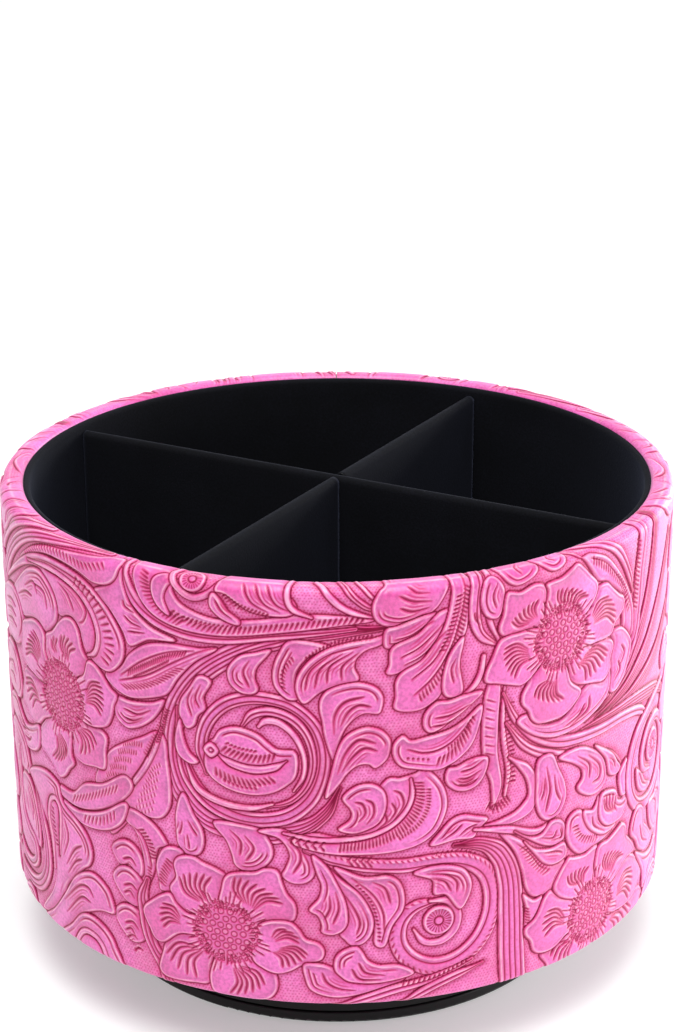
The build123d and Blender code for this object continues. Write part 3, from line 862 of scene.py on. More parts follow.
# leaves under the long stem
shape([(-1, 36.4), (6, 33.6), (12, 33.6), (15, 30.6), (15.5, 25), (12.6, 20), (11, 15), (8.6, 15.6),
       (8.6, 21), (7, 26), (3, 31.5)], line=False, dome=0.06, nest=(15, 1))
knife([(3, 33.6), (8, 29), (10.5, 24), (10.8, 19)], 0.42, 0.26)
knife([(8, 32.4), (11, 30.4), (12.3, 26.4)], 0.6)
marks([(4, 32), (7.6, 27), (9.4, 20), (9.6, 16)], 16, 0.8, 60, 0.42)
shape([(-3.8, 37.4), (0, 33.5), (4.5, 29.5), (7, 25.5), (8.2, 21.5), (7.5, 18), (5.5, 15.8), (3.2, 15.3),
       (1.5, 17), (0.3, 18.6), (2, 21.5), (2, 25), (0, 31)], nest=(-30, 2))
knife([(0.6, 30), (3.5, 25.6), (5, 21.6), (4.2, 18.4)], 0.62)
shape([(-6.2, 39.4), (-5, 34.5), (-4, 31.5), (-4.7, 28), (-7, 25), (-5, 23.5), (-4, 21), (-4, 19),
       (-1.5, 18.4), (0.8, 19.5), (2, 22), (1.5, 27), (-0.5, 32), (-3, 36.6)], nest=(-150, 1))
knife([(-2.2, 29), (-2.1, 25.6), (-3.4, 22.6)], 0.6)
knife([(-0.8, 30), (0, 25.6), (-1.4, 21.4)], 0.6)
# lobes along the bottom edge
shape([(-8.4, 10), (-8, 6), (-6.5, 3), (-2, 1.4), (3, 1.6), (9, 3), (16, 5.6), (8, 7.4), (2, 6.6), (0, 8),
       (-2.5, 9.7), (-5, 10.3)], nest=(200, 2))
knife([(4, 3.2), (0, 3.7), (-2.9, 5.4), (-4.1, 8.2)], 0.62)
shape([(-1, 9), (-0.8, 12), (1, 14), (4, 15), (5.5, 13.5), (7, 11), (10, 9.6), (14.6, 9.3), (18, 6.6),
       (10, 5), (3, 5.5), (0.5, 7)], nest=(140, 2))
knife([(11, 7), (6.4, 7.9), (4.6, 10.8)], 0.62)
knife([(10, 5.8), (5, 6.2), (3, 9.2)], 0.62)
stem([(-2, -2), (6, 0.6), (14, 2.9), (24, 4.7), (33, 8)], (0.6, 1.2, 1.3, 1.3, 0.6), ribs=(0.1,))
marks([(15, 4.2), (24, 5), (32, 8)], 14, 1.5, 55, 0.38)
stem([(14, -2), (21, 1.6), (28, 4.2), (36, 6.4)], (0.6, 1.2, 1.2, 0.4), ribs=(0,))
# upright bundle of stems
stem([(28, 39.6), (35, 38.8), (40, 35), (42.8, 28), (43.6, 18), (44, 8), (44.8, -4)],
     (0.6, 1.8, 2.8, 3.4, 3.7, 3.8, 3.8), ribs=(-0.62, -0.2, 0.2, 0.62), drop=0.6)
print("spiral:", tally())

# %% [markdown]
# ## Hooked lobes and the paisley leaf
#
# These are the deep acanthus lobes right of the scroll. They are functions, not plain code, because the
# far side of the drum uses them again, mirrored.

# %% Draw the hooked lobes
def hooked_lobes():
    # upper curl
    shape([(-7.8, 78.6), (-9.6, 81.5), (-9.3, 85), (-7, 88.7), (-3, 91.8), (2, 93.5), (8, 94.5),
           (11.5, 95.3), (10, 93.2), (6.5, 92), (4.2, 90), (3.6, 87.5), (4.6, 84.5), (1, 83.3),
           (-4, 81.6)], nest=(135, 1))
    for c in ([(-1, 91.4), (-6.3, 86.8), (-7.6, 82)], [(1, 91.2), (-4, 87.4), (-5.4, 82.6)],
            [(3.4, 91.6), (-1.8, 88), (-2.6, 83.8)], [(4.8, 91.4), (1, 88), (0.8, 84.6)]):
        knife(c, head=0.52)
    marks([(-7.6, 89.4), (-4, 92), (1, 94), (8, 95)], 18, 1.5, 55, 0.38)
    # hooked lobes, one below the other
    shape([(-4.2, 77), (-4, 79.6), (-2.5, 81.8), (1, 83.3), (5, 83.7), (8.5, 82.5), (10.2, 80),
           (10, 77.4), (9.2, 76), (6, 76.2), (3.5, 74.8), (1.5, 72.3), (0.2, 69), (-1, 64), (-3, 70),
           (-3.6, 74)], nest=(60, 1))
    knife([(-1, 71), (-0.8, 75.6), (1.4, 79), (6, 80.4)], 0.75)
    knife([(0.5, 73), (2.2, 76.4), (4.6, 78.2), (7.6, 77.8)], 0.7)
    shape([(-0.2, 66.6), (1.5, 70), (4, 71.8), (7, 72.5), (10, 71.5), (12, 69), (12, 66.4), (11, 64),
           (8.6, 62.2), (7, 63.2), (4.5, 63), (2, 61), (0, 58), (-3, 54.6), (-1.6, 61)], nest=(60, 1))
    knife([(-0.2, 61), (1.6, 66), (4.6, 69.4), (8.6, 68.6)], 0.75)
    knife([(0.8, 61.4), (3.2, 65), (6, 67.3), (9, 66.6)], 0.7)


hooked_lobes()
print("hooked lobes:", tally())

# %% Draw the paisley leaf
def paisley_leaf():
    # paisley leaf
    shape([(10.4, 58), (14.5, 59), (18, 59.8), (20.6, 60.7), (24.4, 56.6), (25.8, 52), (25.2, 48),
           (23, 44), (19, 41.4), (13, 40), (5, 39.7), (-3, 40.2), (-11, 42.6), (-6, 45.2), (3, 45)],
          dome=0.08, nest=(-10, 1))
    stem([(-13, 45), (-6, 43.7), (1, 43.6), (7.5, 44.6), (12.6, 47), (16, 50.6), (17.4, 54.6),
          (17, 58.6)], (0.4, 0.7, 0.7, 0.7, 0.7, 0.7, 0.7, 0.4), drop=0.4, bevel=1.1)
    marks([(18.8, 58), (19, 53), (17.2, 48.6), (13.4, 45), (7.6, 42.7), (0, 41.8)], 34, 2.6, 78, 0.42)
    marks([(21.2, 56), (21, 51), (18.6, 46.6), (14, 43.4)], 20, 1.2, 78, 0.34)
    marks([(-12, 44), (-8, 43), (-3, 42.4)], 5, 2.0, 50)
    marks([(-12, 43), (-8, 42), (-3, 41.4)], 5, 2.0, -50)
    shape([(2.6, 52), (1, 54.6), (4, 57.4), (8, 57.9), (10.7, 55.6), (11, 51.6), (9.4, 48), (6, 46),
           (3, 45.4), (0, 46.4), (2.5, 48.5), (3.2, 50.4)], nest=(140, 1))
    knife([(4.6, 48.4), (6.2, 50.4), (5.6, 52.9), (3.8, 53.6)], 0.6)
    knife([(6.6, 47.8), (8.2, 50.2), (8, 53), (6.2, 54.2)], 0.6)
    for c in ([(13, 48.4), (15.2, 52), (14.6, 55), (12.8, 56.2)],
            [(11.4, 47.6), (13.4, 50.6), (12.4, 53)], [(9, 46), (11.2, 48), (11, 50.2)]):
        knife(c, head=0.6)


paisley_leaf()
print("paisley leaf:", tally())

# %% Draw the veined leaf
# rounded lobe at the rim, and the veined leaf that hangs from it
shape([(9.4, 106), (8, 103), (8.2, 100), (10, 98), (14, 97), (18, 97.8), (21, 99.5), (24, 103), (26, 108),
       (26, 114), (12, 114), (11, 108)], nest=(-115, 2))
knife([(21.5, 103), (17, 103.3), (13.8, 104.8)], 0.65)
knife([(21, 101.5), (17, 100.8), (14, 101.8)], 0.65)
knife([(21, 105), (18, 105.3), (16, 107)])
shape([(11, 96.6), (10.5, 94), (11, 92.2), (14, 92), (17, 93.5), (20, 96), (23, 99.4), (20, 99.4),
       (14, 97.4)], nest=(-130, 1))
shape([(12.5, 92.2), (11.8, 88), (11.2, 85.8), (14, 85.8), (18, 87.5), (22, 91), (25, 95.4), (26, 100),
       (23, 99.5), (18.5, 95)])
shape([(15, 86), (13.3, 83.5), (13.3, 80), (13, 77), (16, 76), (20, 76.5), (23.5, 79), (26, 84),
       (28.4, 90), (30.4, 97), (31, 106), (30, 114), (26.5, 112), (26.4, 104), (24.6, 96), (20, 89)])
for c in ([(22, 98), (17, 95), (13, 94)], [(24.4, 97), (19, 92), (14.4, 89.6)],
        [(24.8, 95), (20, 90), (15.2, 87.6)], [(26, 94), (22, 88), (17, 84)]):
    knife(c, 0.26, 0.42)
knife([(29.6, 110), (29.3, 102), (28, 96), (26, 90), (22, 84), (17.5, 80)], 0.5, 0.3)
marks([(30.2, 106), (28.8, 97), (26.4, 89.4), (22.6, 83), (18.6, 79)], 30, 2.1, 64, 0.4)
marks([(28.4, 104), (26.8, 97), (24, 90)], 14, 1.8, -58, 0.36)
# leaves right of it
stem([(33.5, 112), (32.3, 103), (32.2, 97), (34, 92.5), (38.4, 89.4)], (1.6, 1.6, 1.5, 1.2, 0.5),
     ribs=(0.3,))
knife([(33.4, 95.4), (32.2, 97), (31.9, 98.8)])
shape([(29.4, 93), (28.4, 86.5), (29.4, 80), (28.2, 78.2), (25, 79), (24.4, 83), (26, 89)])
knife([(27.4, 88), (26.4, 85.4), (27, 82)])
stem([(36.6, 112), (35.4, 103), (36, 96), (38.6, 90.6)], (0.8, 0.8, 0.8, 0.5))
stem([(34.6, 87.4), (33.9, 83), (31.6, 79.6), (28.6, 77.6)], (0.7, 0.9, 0.8, 0.4))
print("veined leaf:", tally())

# %% Draw the upright stem and its lobes
# smooth upright stem with a saw-toothed edge
stem([(38, 82), (37, 76), (36.6, 68), (36.9, 61), (38.6, 54), (37.8, 48)], (1.6, 2.3, 2.3, 2.1, 1.6, 0.6),
     dome=0.16)
marks([(36.6, 77), (36.3, 69), (36.6, 61)], 7, 2.6, -112, 0.28, 0.26)
stem([(40.4, 78.4), (40, 71), (40.5, 64), (41.8, 57), (41, 50.4)], (0.4, 0.7, 0.8, 0.8, 0.5))
marks([(41.8, 74.6), (41.6, 67), (42.6, 58), (42.6, 53)], 19, 2.7, 94, 0.42)
marks([(36.4, 48.6), (39, 47.4), (42.4, 49.4)], 8, 2.6, 84, 0.5)
# lobes left of the stem
shape([(20.3, 75), (20, 71.6), (22, 70), (26, 72), (31, 75.5), (34.4, 78.6), (30, 78.4), (26, 77.5),
       (23, 77.5)], nest=(-160, 1))
knife([(31.4, 76), (26.5, 73.9), (22.4, 73.6)], 0.55)
knife([(29, 73.4), (25, 71.7), (21.8, 71.6)], 0.55)
shape([(15, 69.8), (13, 68), (12.8, 65), (14.5, 62.3), (18, 61.2), (24, 60.4), (29, 62.8), (32.6, 67),
       (34.4, 75), (30, 72), (26, 70), (21, 69), (17, 68.4)], nest=(-150, 1))
knife([(32.6, 73), (28, 68), (24, 65.6), (20, 65.1), (16, 66.4)], 0.5, 0.26)
marks([(23, 62.3), (27.5, 64.4), (31.4, 70)], 10, 2.6, 52, 0.46)
marks([(25.6, 65), (29, 67.6), (32.4, 72.6)], 11, 1.5, 62, 0.4)
marks([(15.6, 64.2), (21.6, 63.2)], 5, 0.7, 90, 0.5)
shape([(26, 60), (25.5, 57), (27.5, 54.6), (30.5, 53.8), (33.5, 54.8), (35.5, 57.5), (36, 61.4),
       (32, 61.6), (28.5, 60.3)], nest=(-90, 2))
knife([(35, 61), (32, 59.3), (29, 58.9)], 0.55)
knife([(34.4, 58.6), (31, 57), (28.4, 57.3)], 0.55)
knife([(33.4, 56.4), (30.5, 55.4), (28.6, 55.7)], 0.45)
shape([(22, 40.6), (24.5, 44), (27, 46.5), (30, 47.4), (33, 46.6), (36.4, 45.2), (34, 42.6), (32.5, 41),
       (28, 41.3)], nest=(100, 1))
knife([(25, 41.8), (28, 43.5), (29.8, 45.2)], 0.55)
knife([(29, 42.2), (31, 43.7), (33.6, 44.4)])
print("upright stem:", tally())

# %% [markdown]
# ## Left side
#
# Further left a second flower sits under broad curled leaves, with round lobes and stems below it. The
# camera sees this side at a slant, but the drum turns, so it is drawn as fully as the front.

# %% Draw the curled leaves
# stems that sweep up to the rim at the far left
stem([(-122, 78), (-112, 89), (-101, 98.6), (-90, 104.4), (-76, 107.6), (-60, 110)],
     (1.6, 2.0, 2.0, 1.8, 1.6, 1.2), ribs=(-0.3, 0.3))
stem([(-118, 92), (-108, 100), (-97, 106), (-84, 110)], (1.4, 1.6, 1.6, 1.3), ribs=(0.1,))
shape([(-114, 98), (-104, 104), (-96, 110), (-98, 116), (-112, 116), (-118, 108)])
knife([(-100, 110), (-106, 106), (-110, 101)], 0.7)
knife([(-104, 112), (-109, 109), (-113, 104)], 0.7)
# leaf with a row of tool marks along the top
shape([(-98, 96), (-90, 101.2), (-82, 104), (-72, 105.6), (-62, 107), (-54.6, 109), (-55, 104),
       (-58, 101), (-63, 100.2), (-68, 101.6), (-76, 102.4), (-85, 101.4)], line=False)
marks([(-94, 98.6), (-86, 102.4), (-76, 104.2), (-66, 103.6), (-58.6, 105.4)], 26, 2.0, 118, 0.45)
# broad curled leaf over the upper flower
shape([(-112, 86), (-97, 96), (-87, 100.4), (-77, 101.5), (-67, 100.1), (-60, 96), (-55.5, 91),
       (-53.6, 86.5), (-54.6, 82), (-58.6, 78.6), (-64, 79.6), (-67.5, 83.8), (-68.5, 87), (-72, 89),
       (-77, 88), (-80, 94), (-86, 97), (-95, 95)], nest=(55, 1))
stem([(-92, 97.4), (-80, 98.8), (-70, 97.2), (-64.2, 93), (-61.8, 87.4), (-63, 82.4), (-66.4, 80.4)],
     (0.4, 0.8, 0.9, 0.9, 0.9, 0.8, 0.4), drop=0.4, bevel=1.2)
marks([(-70, 99.2), (-63.6, 96), (-59.2, 90.6), (-57.8, 84.6), (-60, 80.4)], 15, 3.0, 88, 0.5, 0.3)
knife([(-78, 98), (-70.4, 96.4), (-65.8, 92.6), (-66.4, 89.6), (-68.2, 88.4)], 0.5, 0.26)
knife([(-76, 96.6), (-72.4, 94.6), (-70, 91)], 0.6)
# rounded lobes at the far left
shape([(-108, 82), (-98, 91), (-92, 95), (-86, 96.6), (-81.5, 95), (-78.5, 92), (-77.5, 88.5),
       (-78.5, 85.5), (-81, 83), (-84, 81), (-87, 82.6), (-92, 82.2), (-98, 80.6)], nest=(60, 2))
knife([(-94, 90), (-89, 92.6), (-86.4, 90.2)], 0.7)
knife([(-89, 92.4), (-83.2, 91.8), (-81.6, 87.8)], 0.7)
knife([(-99, 86), (-94, 88.4), (-89.6, 88.6)], 0.6)
shape([(-116, 82), (-106, 85.6), (-100, 84), (-97.6, 80.4), (-98.2, 76), (-101, 72), (-106, 70.4),
       (-116, 72)], nest=(20, 1))
for y in (81, 78.4, 75.6):
    knife([(-113, y - 1), (-107, y + 0.6), (-102.4, y)], 0.7)
shape([(-118, 66), (-110, 68.6), (-105, 67), (-102, 63), (-101.6, 59), (-104, 55.6), (-110, 54.4),
       (-118, 57)], nest=(20, 1))
knife([(-114, 62), (-108.6, 63.6), (-105.6, 61)], 0.7)
knife([(-114, 59), (-109, 60), (-106.6, 58.2)], 0.7)
print("curled leaves:", tally())

# %% Draw the left flower
def left_flower():
    flower((-77, 66.6), 9, 12.6, [
        ([(-84, 76), (-84.2, 80), (-80, 82.6), (-77, 85.8), (-74, 88), (-71, 88.2), (-69, 86),
          (-68, 82), (-66.2, 79), (-66, 77), (-67.6, 74.8), (-71, 72), (-77, 70)],
         [((-74.6, 75), (-75.4, 82), (-70.6, 80.4), 5), ((-78, 76), (-80, 79.8), (-77.6, 80.8), 3)]),
        ([(-70, 63.4), (-66, 62), (-62, 62), (-60.2, 60.5), (-60.8, 57), (-60.8, 54), (-61.6, 52),
          (-65, 51.6), (-69, 51), (-72, 52), (-73.2, 54.6), (-73.4, 57), (-74, 62)],
         [((-70.6, 61.6), (-64.6, 58.4), (-70, 54.6), 5)]),
        ([(-74, 62), (-73.6, 57), (-74, 52), (-73, 49.6), (-75, 47.5), (-77, 45), (-79.6, 43.6),
          (-82, 45.3), (-85, 47), (-88, 48), (-90, 49.6), (-89.6, 53), (-86, 57), (-82, 62)],
         [((-79, 58.6), (-76.4, 51.6), (-82, 49.6), 6)]),
        ([(-82, 60), (-86.4, 57), (-90, 54), (-93.5, 53.4), (-97, 55.4), (-100.4, 57.5),
          (-99.5, 61), (-98.5, 64), (-96.8, 66.8), (-92, 67), (-84, 67)],
         [((-86, 62), (-95.6, 63.6), (-92, 58), 5)]),
        ([(-84, 67), (-92, 67.3), (-97, 68.2), (-99.4, 70.2), (-99, 74), (-97.4, 79), (-94, 80.8),
          (-90, 82.2), (-86.5, 82), (-84.2, 80), (-84.4, 76), (-82, 71)],
         [((-85, 71.6), (-89.4, 78.4), (-94.4, 70.8), 7)]),
        ([(-71, 72), (-67.6, 75), (-66, 79), (-63.5, 79), (-61, 77), (-58.5, 74.2), (-56.4, 72.8),
          (-57.5, 70), (-58.2, 67), (-60, 64), (-63.5, 62.6), (-67, 62.4), (-71, 64)],
         [((-69.4, 69), (-62.6, 74), (-62.6, 66.6), 7)]),
    ])


left_flower()
print("left flower:", tally())

# %% Draw the lobes below it
# leaves and lobes below that flower
shape([(-116, 52), (-108, 54.4), (-100, 50.6), (-95, 51.4), (-90, 53.4), (-90, 48.6), (-93, 45.4),
       (-99, 44), (-104, 47), (-112, 48)], nest=(60, 1))
knife([(-106, 49.6), (-102, 48.4), (-99, 48.8)], 0.6)
knife([(-101, 46.8), (-97, 46.8), (-95, 48.4)], 0.6)
shape([(-80, 41), (-74, 41.4), (-69, 45.6), (-62, 48), (-55, 52.4), (-52.4, 50), (-56, 45.4), (-64, 40.4),
       (-72, 38), (-79, 38.4)], line=False)
marks([(-74, 39.8), (-66, 43.4), (-57, 48.4)], 14, 2.6, 40, 0.3, 0.26)
shape([(-78.6, 37.6), (-72, 37.2), (-63, 40), (-56, 44.6), (-54.3, 44), (-56.5, 39), (-62, 35.4),
       (-70, 34), (-76, 35.2)])
marks([(-70, 35.8), (-63, 37.6), (-58, 41)], 9, 2.4, 60, 0.4)
shape([(-118, 44), (-110, 47), (-103, 45.6), (-99.6, 43), (-98, 38.4), (-101, 35), (-105.4, 36),
       (-106.6, 41), (-112, 42)], nest=(20, 1))
knife([(-110, 44.6), (-104, 42), (-102, 38)], 0.6)
# big spiral at the far left
stem([(-108, 40), (-108.4, 30), (-106.6, 22.4), (-101.6, 19), (-97, 17.6), (-96.2, 13.4), (-100, 10.4),
      (-106, 10), (-112, 12)], (1.2, 1.7, 1.8, 1.8, 1.7, 1.6, 1.5, 1.3, 0.8), ribs=(0.2,))
stem([(-96, 36), (-92, 30), (-89, 22), (-89, 14), (-93.6, 7.6), (-101, 5), (-112, 5)],
     (0.6, 1.6, 2.0, 2.2, 2.2, 2.0, 1.4), ribs=(-0.3, 0.35))
shape([(-105, 34), (-99, 35), (-95, 31), (-92.6, 24), (-93, 18), (-96, 20), (-101, 22), (-104.6, 26)],
      nest=(20, 2))
knife([(-100, 32), (-97, 28), (-97, 24)], 0.65)
knife([(-102.6, 30), (-100.6, 27), (-100.4, 25)], 0.6)
# round lobe with an oval inside
shape([(-98, 38), (-92, 41), (-86, 42.2), (-81, 41), (-79.8, 38), (-78, 36), (-73, 34), (-69, 31),
       (-67.4, 27), (-68.5, 23.5), (-71, 21.5), (-75, 18), (-79, 13.5), (-82, 8), (-88, 2), (-93, 1),
       (-87, 8), (-84, 14), (-84, 21), (-87, 27), (-91, 32), (-95, 35.6)], nest=(35, 2))
stem([(-84.6, 16), (-84.8, 24), (-86.4, 30), (-85.4, 34.8), (-82.6, 36.4), (-80.4, 34), (-80.6, 28),
      (-81.6, 21)], (0.5, 0.8, 0.8, 0.8, 0.8, 0.8, 0.8, 0.4), drop=0.35, bevel=1.1)
marks([(-84.2, 34), (-83.8, 29), (-82.8, 23)], 9, 2.0, 70, 0.36)
knife([(-78, 20), (-74.4, 25.4), (-71, 27.8)], 0.65)
knife([(-77.6, 17.6), (-74.4, 22), (-71.2, 24)], 0.6)
knife([(-79.2, 22), (-76.8, 28), (-78.2, 32.6)], 0.65)
shape([(-94, -3), (-86, 3.6), (-80, 10.6), (-75, 17.4), (-70, 20.8), (-66, 21.2), (-62, 18.8),
       (-60.2, 15), (-60.4, 12.8), (-65, 12), (-71, 9), (-76, 5), (-80, 0), (-83, -4)], nest=(70, 1))
knife([(-80, 9), (-73.4, 15.6), (-69.4, 16.8), (-67.2, 14.8)], 0.7)
knife([(-79, 6), (-72.6, 12.8), (-68.4, 13)], 0.65)
shape([(-83, -4), (-77, 3.4), (-72.5, 8), (-68, 9), (-63, 7.2), (-60, 3.4), (-58.4, -4)], nest=(80, 1))
stem([(-77, -4), (-73, 2.6), (-69, 4), (-65, 2.2), (-62, -4)], (0.8, 0.9, 0.9, 0.9, 0.8), drop=0.4,
     bevel=1.2)
print("lower left lobes:", tally())

# %% [markdown]
# ## Right side
#
# On the right a fan of stems sweeps up behind the upper flower, and a last flower stands at the bottom
# edge next to a ring scroll.

# %% Draw the stems behind the upper flower
# fan of stems that sweeps up and out to the right
for line in ([(66, 63), (78, 67), (87, 75), (94, 87), (97, 100), (97, 112)],
        [(70, 62), (83, 66), (95, 74), (105, 86), (112, 98)],
        [(73, 61), (88, 63.6), (102, 69), (114, 78)],
        [(60, 60), (76, 60.6), (92, 60), (106, 57), (116, 52)]):
    stem(line, (0.6, 1.6, 2.1, 2.0, 1.6, 1.2), ribs=(-0.6, -0.2, 0.2, 0.6))
stem([(88.6, 114), (89, 104), (87.6, 95), (87, 86), (85.4, 78), (79, 69)], (2.0, 2.2, 2.2, 2.1, 1.8, 0.6),
     ribs=(0.15,), drop=0.6)
marks([(86.6, 104), (86, 94), (85.4, 86)], 16, 1.8, 60, 0.36)
# long leaf behind the upper flower
shape([(58, 112), (62, 106.4), (66, 106.2), (72, 103.4), (78, 97.4), (82.4, 91.5), (84.6, 86), (84.6, 80),
       (83, 76), (80, 82), (79.4, 88), (79.6, 91.4), (76, 94.6), (72, 97.4), (68.6, 98.8), (66, 102)],
      nest=(40, 1))
marks([(66, 104.6), (73, 99.8), (79, 94), (82, 87)], 22, 2.0, 120, 0.36)
stem([(62, 112), (70, 108.4), (77, 103.4), (81.6, 97), (84.4, 91)], (1.4, 1.5, 1.4, 1.2, 0.5), ribs=(0,))
shape([(75, 83.4), (79, 83.4), (83, 80), (84.2, 77), (82, 71), (78, 67.4), (75, 68), (75.4, 73), (75, 77),
       (76, 80.4)], nest=(-20, 1))
knife([(76.4, 70), (78.8, 72.6), (77.8, 75.2)], 0.6)
knife([(78.4, 73), (80.6, 76.4), (79, 79)], 0.6)
# stems under the flower
stem([(40, 77), (43.6, 69.6), (50, 63.4), (58, 60), (70, 58.8), (82, 58.6), (92, 56.4), (99, 51.6)],
     (0.4, 1.0, 1.5, 1.6, 1.5, 1.5, 1.4, 0.5), ribs=(0,))
stem([(41, 69), (46.6, 61.8), (56, 56.8), (66, 53.8), (76, 50.4), (84, 44)],
     (0.4, 1.1, 1.5, 1.5, 1.4, 0.5), ribs=(0,))
stem([(42, 60), (47, 55.6), (49.6, 50), (48, 46), (43, 43.6), (36, 43.4)], (0.4, 1.4, 2.0, 2.0, 1.4, 0.4),
     dome=0.14)
shape([(63.6, 71), (68, 72.6), (72, 71.4), (74.8, 73.6), (74.8, 70), (73.5, 67), (70, 64.8), (65, 63),
       (60, 62), (54, 62.3), (48.5, 64.5), (44, 68.6), (46.5, 70), (49, 67), (54, 65.6), (59, 66.4)],
      nest=(-80, 1))
knife([(58, 63.8), (63, 65.4), (65, 68)], 0.7)
knife([(60, 63.4), (66, 66), (66.6, 69.6)], 0.7)
print("stems:", tally())

# %% Draw the upper flower
def upper_flower():
    flower((56.5, 87.6), 8.2, 12, [
        ([(40.4, 102), (44, 101.6), (48, 102.8), (51, 101.6), (51.8, 98), (52, 94), (48, 91.6),
          (44, 91.4), (40, 91.4), (38.4, 93.5), (39.5, 97)],
         [((48.4, 92.6), (42.4, 94.6), (48.8, 98), 7)]),
        ([(67, 82), (70, 82.8), (74, 82), (75.7, 80), (74.6, 77), (74.6, 74), (72, 71.8),
          (68, 72.5), (63, 73.5), (60, 75), (58.5, 77.5), (57, 82), (62, 86)],
         [((60.6, 81.4), (71.4, 79.4), (64.4, 75), 7)]),
        ([(48, 82), (47, 78.4), (45.2, 75.5), (45.3, 73), (47, 71), (48, 68.6), (50, 67),
          (54, 66.6), (58, 67), (61.5, 69), (63.6, 71.8), (60, 75), (58.6, 79), (56, 84)],
         [((54, 79), (49.2, 74.8), (57, 72.4), 7)]),
        ([(50, 91), (43, 91.4), (40, 91), (38.4, 90), (37, 87), (35.2, 83), (35.2, 80.8), (38, 80),
          (42, 78.8), (45, 78.2), (48, 80), (52, 85)],
         [((49.4, 86.4), (41, 88), (43.6, 81.2), 7)]),
        ([(62, 92), (67, 94), (69, 96.8), (72, 97), (74.5, 95), (77.5, 92.5), (79.7, 91),
          (79.5, 88), (76, 85.5), (74.5, 83), (70, 82.8), (62, 84)],
         [((64, 89), (71.4, 92.8), (74, 86), 6)]),
        ([(52, 93), (52, 100), (51.6, 102), (56, 102.6), (59, 104), (61, 105), (63, 103.5),
          (65.5, 101), (68, 98.6), (68.4, 96.5), (66.6, 93.5), (61, 90)],
         [((58, 93), (55.2, 99), (63.8, 95.6), 8, 0.2)]),
    ])


# small leaves at the rim above it
for outline, facing in (
    ([(39, 112), (39.4, 106.4), (42.6, 103.6), (47, 104.6), (49.4, 107.4), (47, 112)], -100),
    ([(49.6, 112), (50.4, 107.4), (53.4, 105), (57, 106), (58.6, 109), (57, 113)], -90),
    ([(33.6, 101), (35, 97.4), (38, 96.4), (39.4, 99), (39.6, 103), (37, 107), (34.4, 105.6)], 200),
):
    shape(outline, nest=(facing, 1))
knife([(44.6, 110), (43.4, 108), (44.4, 106)])
knife([(54.4, 110.6), (53.6, 108.8), (54.8, 107.4)])
knife([(37.6, 105), (36.6, 102), (37.4, 99)])
upper_flower()
print("upper flower:", tally())

# %% Draw the curls
# drop and curls below the stems
shape([(50.4, 57), (50, 50), (50.3, 45), (52, 41.5), (55, 40), (58, 41.5), (59.6, 45), (59, 49), (57, 53),
       (54.6, 57.6)], nest=(-60, 1))
knife([(52.8, 55), (54.2, 49), (53.8, 46), (53, 42.8)], 0.7)
knife([(55.4, 52), (56.2, 47.6), (57.6, 44.6)], 0.6)
knife([(52.4, 52), (52.4, 48.6), (51.5, 46.4)])
shape([(57, 56), (62, 53), (65, 50.5), (65.3, 47.8), (63.6, 46), (65, 44), (69, 42), (73, 42.5), (75, 45),
       (74.3, 49), (71, 53), (64, 56.6)], nest=(-30, 1))
knife([(63, 54.6), (67.6, 51), (67.6, 47.2)], 0.6)
knife([(67, 53.6), (71.6, 49.4), (71.6, 46), (68.8, 45.4)], 0.65)
shape([(70, 55), (77, 50.6), (80, 47), (82, 44.5), (79, 43.8), (76, 45.4), (74.5, 50)])
knife([(76, 49.6), (78, 48), (78.6, 46.2)])
# smooth leaf and curls right of the upright bundle
shape([(40, 40.6), (46, 37), (50, 33), (53, 29), (57, 27.4), (60.5, 27), (58, 23.5), (56, 20.3),
       (50.5, 20.5), (47.8, 23.5), (46.4, 29), (44, 35)], line=False, dome=0.14, nest=(10, 1))
marks([(46.4, 35.4), (49.4, 30.6), (54, 26)], 12, 2.6, 62, 0.36, 0.28)
shape([(47, 22), (50, 19.6), (53, 19.6), (51, 15.4), (48, 13), (48, 18)], line=False)
marks([(47.6, 18.6), (48.6, 13.4)], 6, 2.2, 50, 0.34)
stem([(33, 43), (42, 41), (50, 38.2), (55.6, 39.4)], (0.5, 1.1, 1.1, 0.5), lip=0.14)
shape([(44, 40), (48, 37.4), (52, 37), (55, 39.5), (58, 39), (60, 36.5), (59.6, 33.5), (57, 32.6),
       (53, 33.8), (48, 37)], nest=(-20, 1))
knife([(52, 36), (55.6, 35), (56.8, 36.8)])
knife([(55, 34.4), (58.4, 34.4), (58, 36.8)])
shape([(47, 36.4), (50, 33.6), (55, 32.2), (59.5, 32.4), (60.6, 30), (59.5, 28), (56, 27.6), (53, 29),
       (50.4, 32)])
knife([(53, 31.6), (57, 30.8), (58.8, 30)])
shape([(60.2, 36), (61, 38.5), (63.5, 39.6), (66, 38.5), (67, 35.5), (70, 32), (74, 29.5), (79, 28.4),
       (72, 27.2), (66, 27), (62.5, 29.5), (60.5, 33)], nest=(120, 1))
marks([(62.8, 36), (65.4, 31.6), (72, 28.8)], 11, 2.2, 64, 0.42)
shape([(66.4, 38.4), (70, 37.6), (72.6, 40.4), (72.2, 36), (73.2, 33), (76, 30.6), (81, 29.4), (75, 29),
       (70, 31.8), (67.2, 35.2)])
knife([(75, 29.8), (70.6, 33), (69.4, 36)], 0.55)
shape([(73.4, 40.6), (77, 40.4), (80, 39), (80.6, 36.5), (83, 35.2), (87, 35.6), (84, 31), (80, 30.2),
       (76, 31), (73, 34), (72.4, 37.6)], nest=(80, 1))
fan((80, 31.6), (75, 38), (80, 37), 5)
shape([(81, 43), (85, 46), (86, 41), (86.6, 36.4), (83, 36.4), (81.6, 39)])
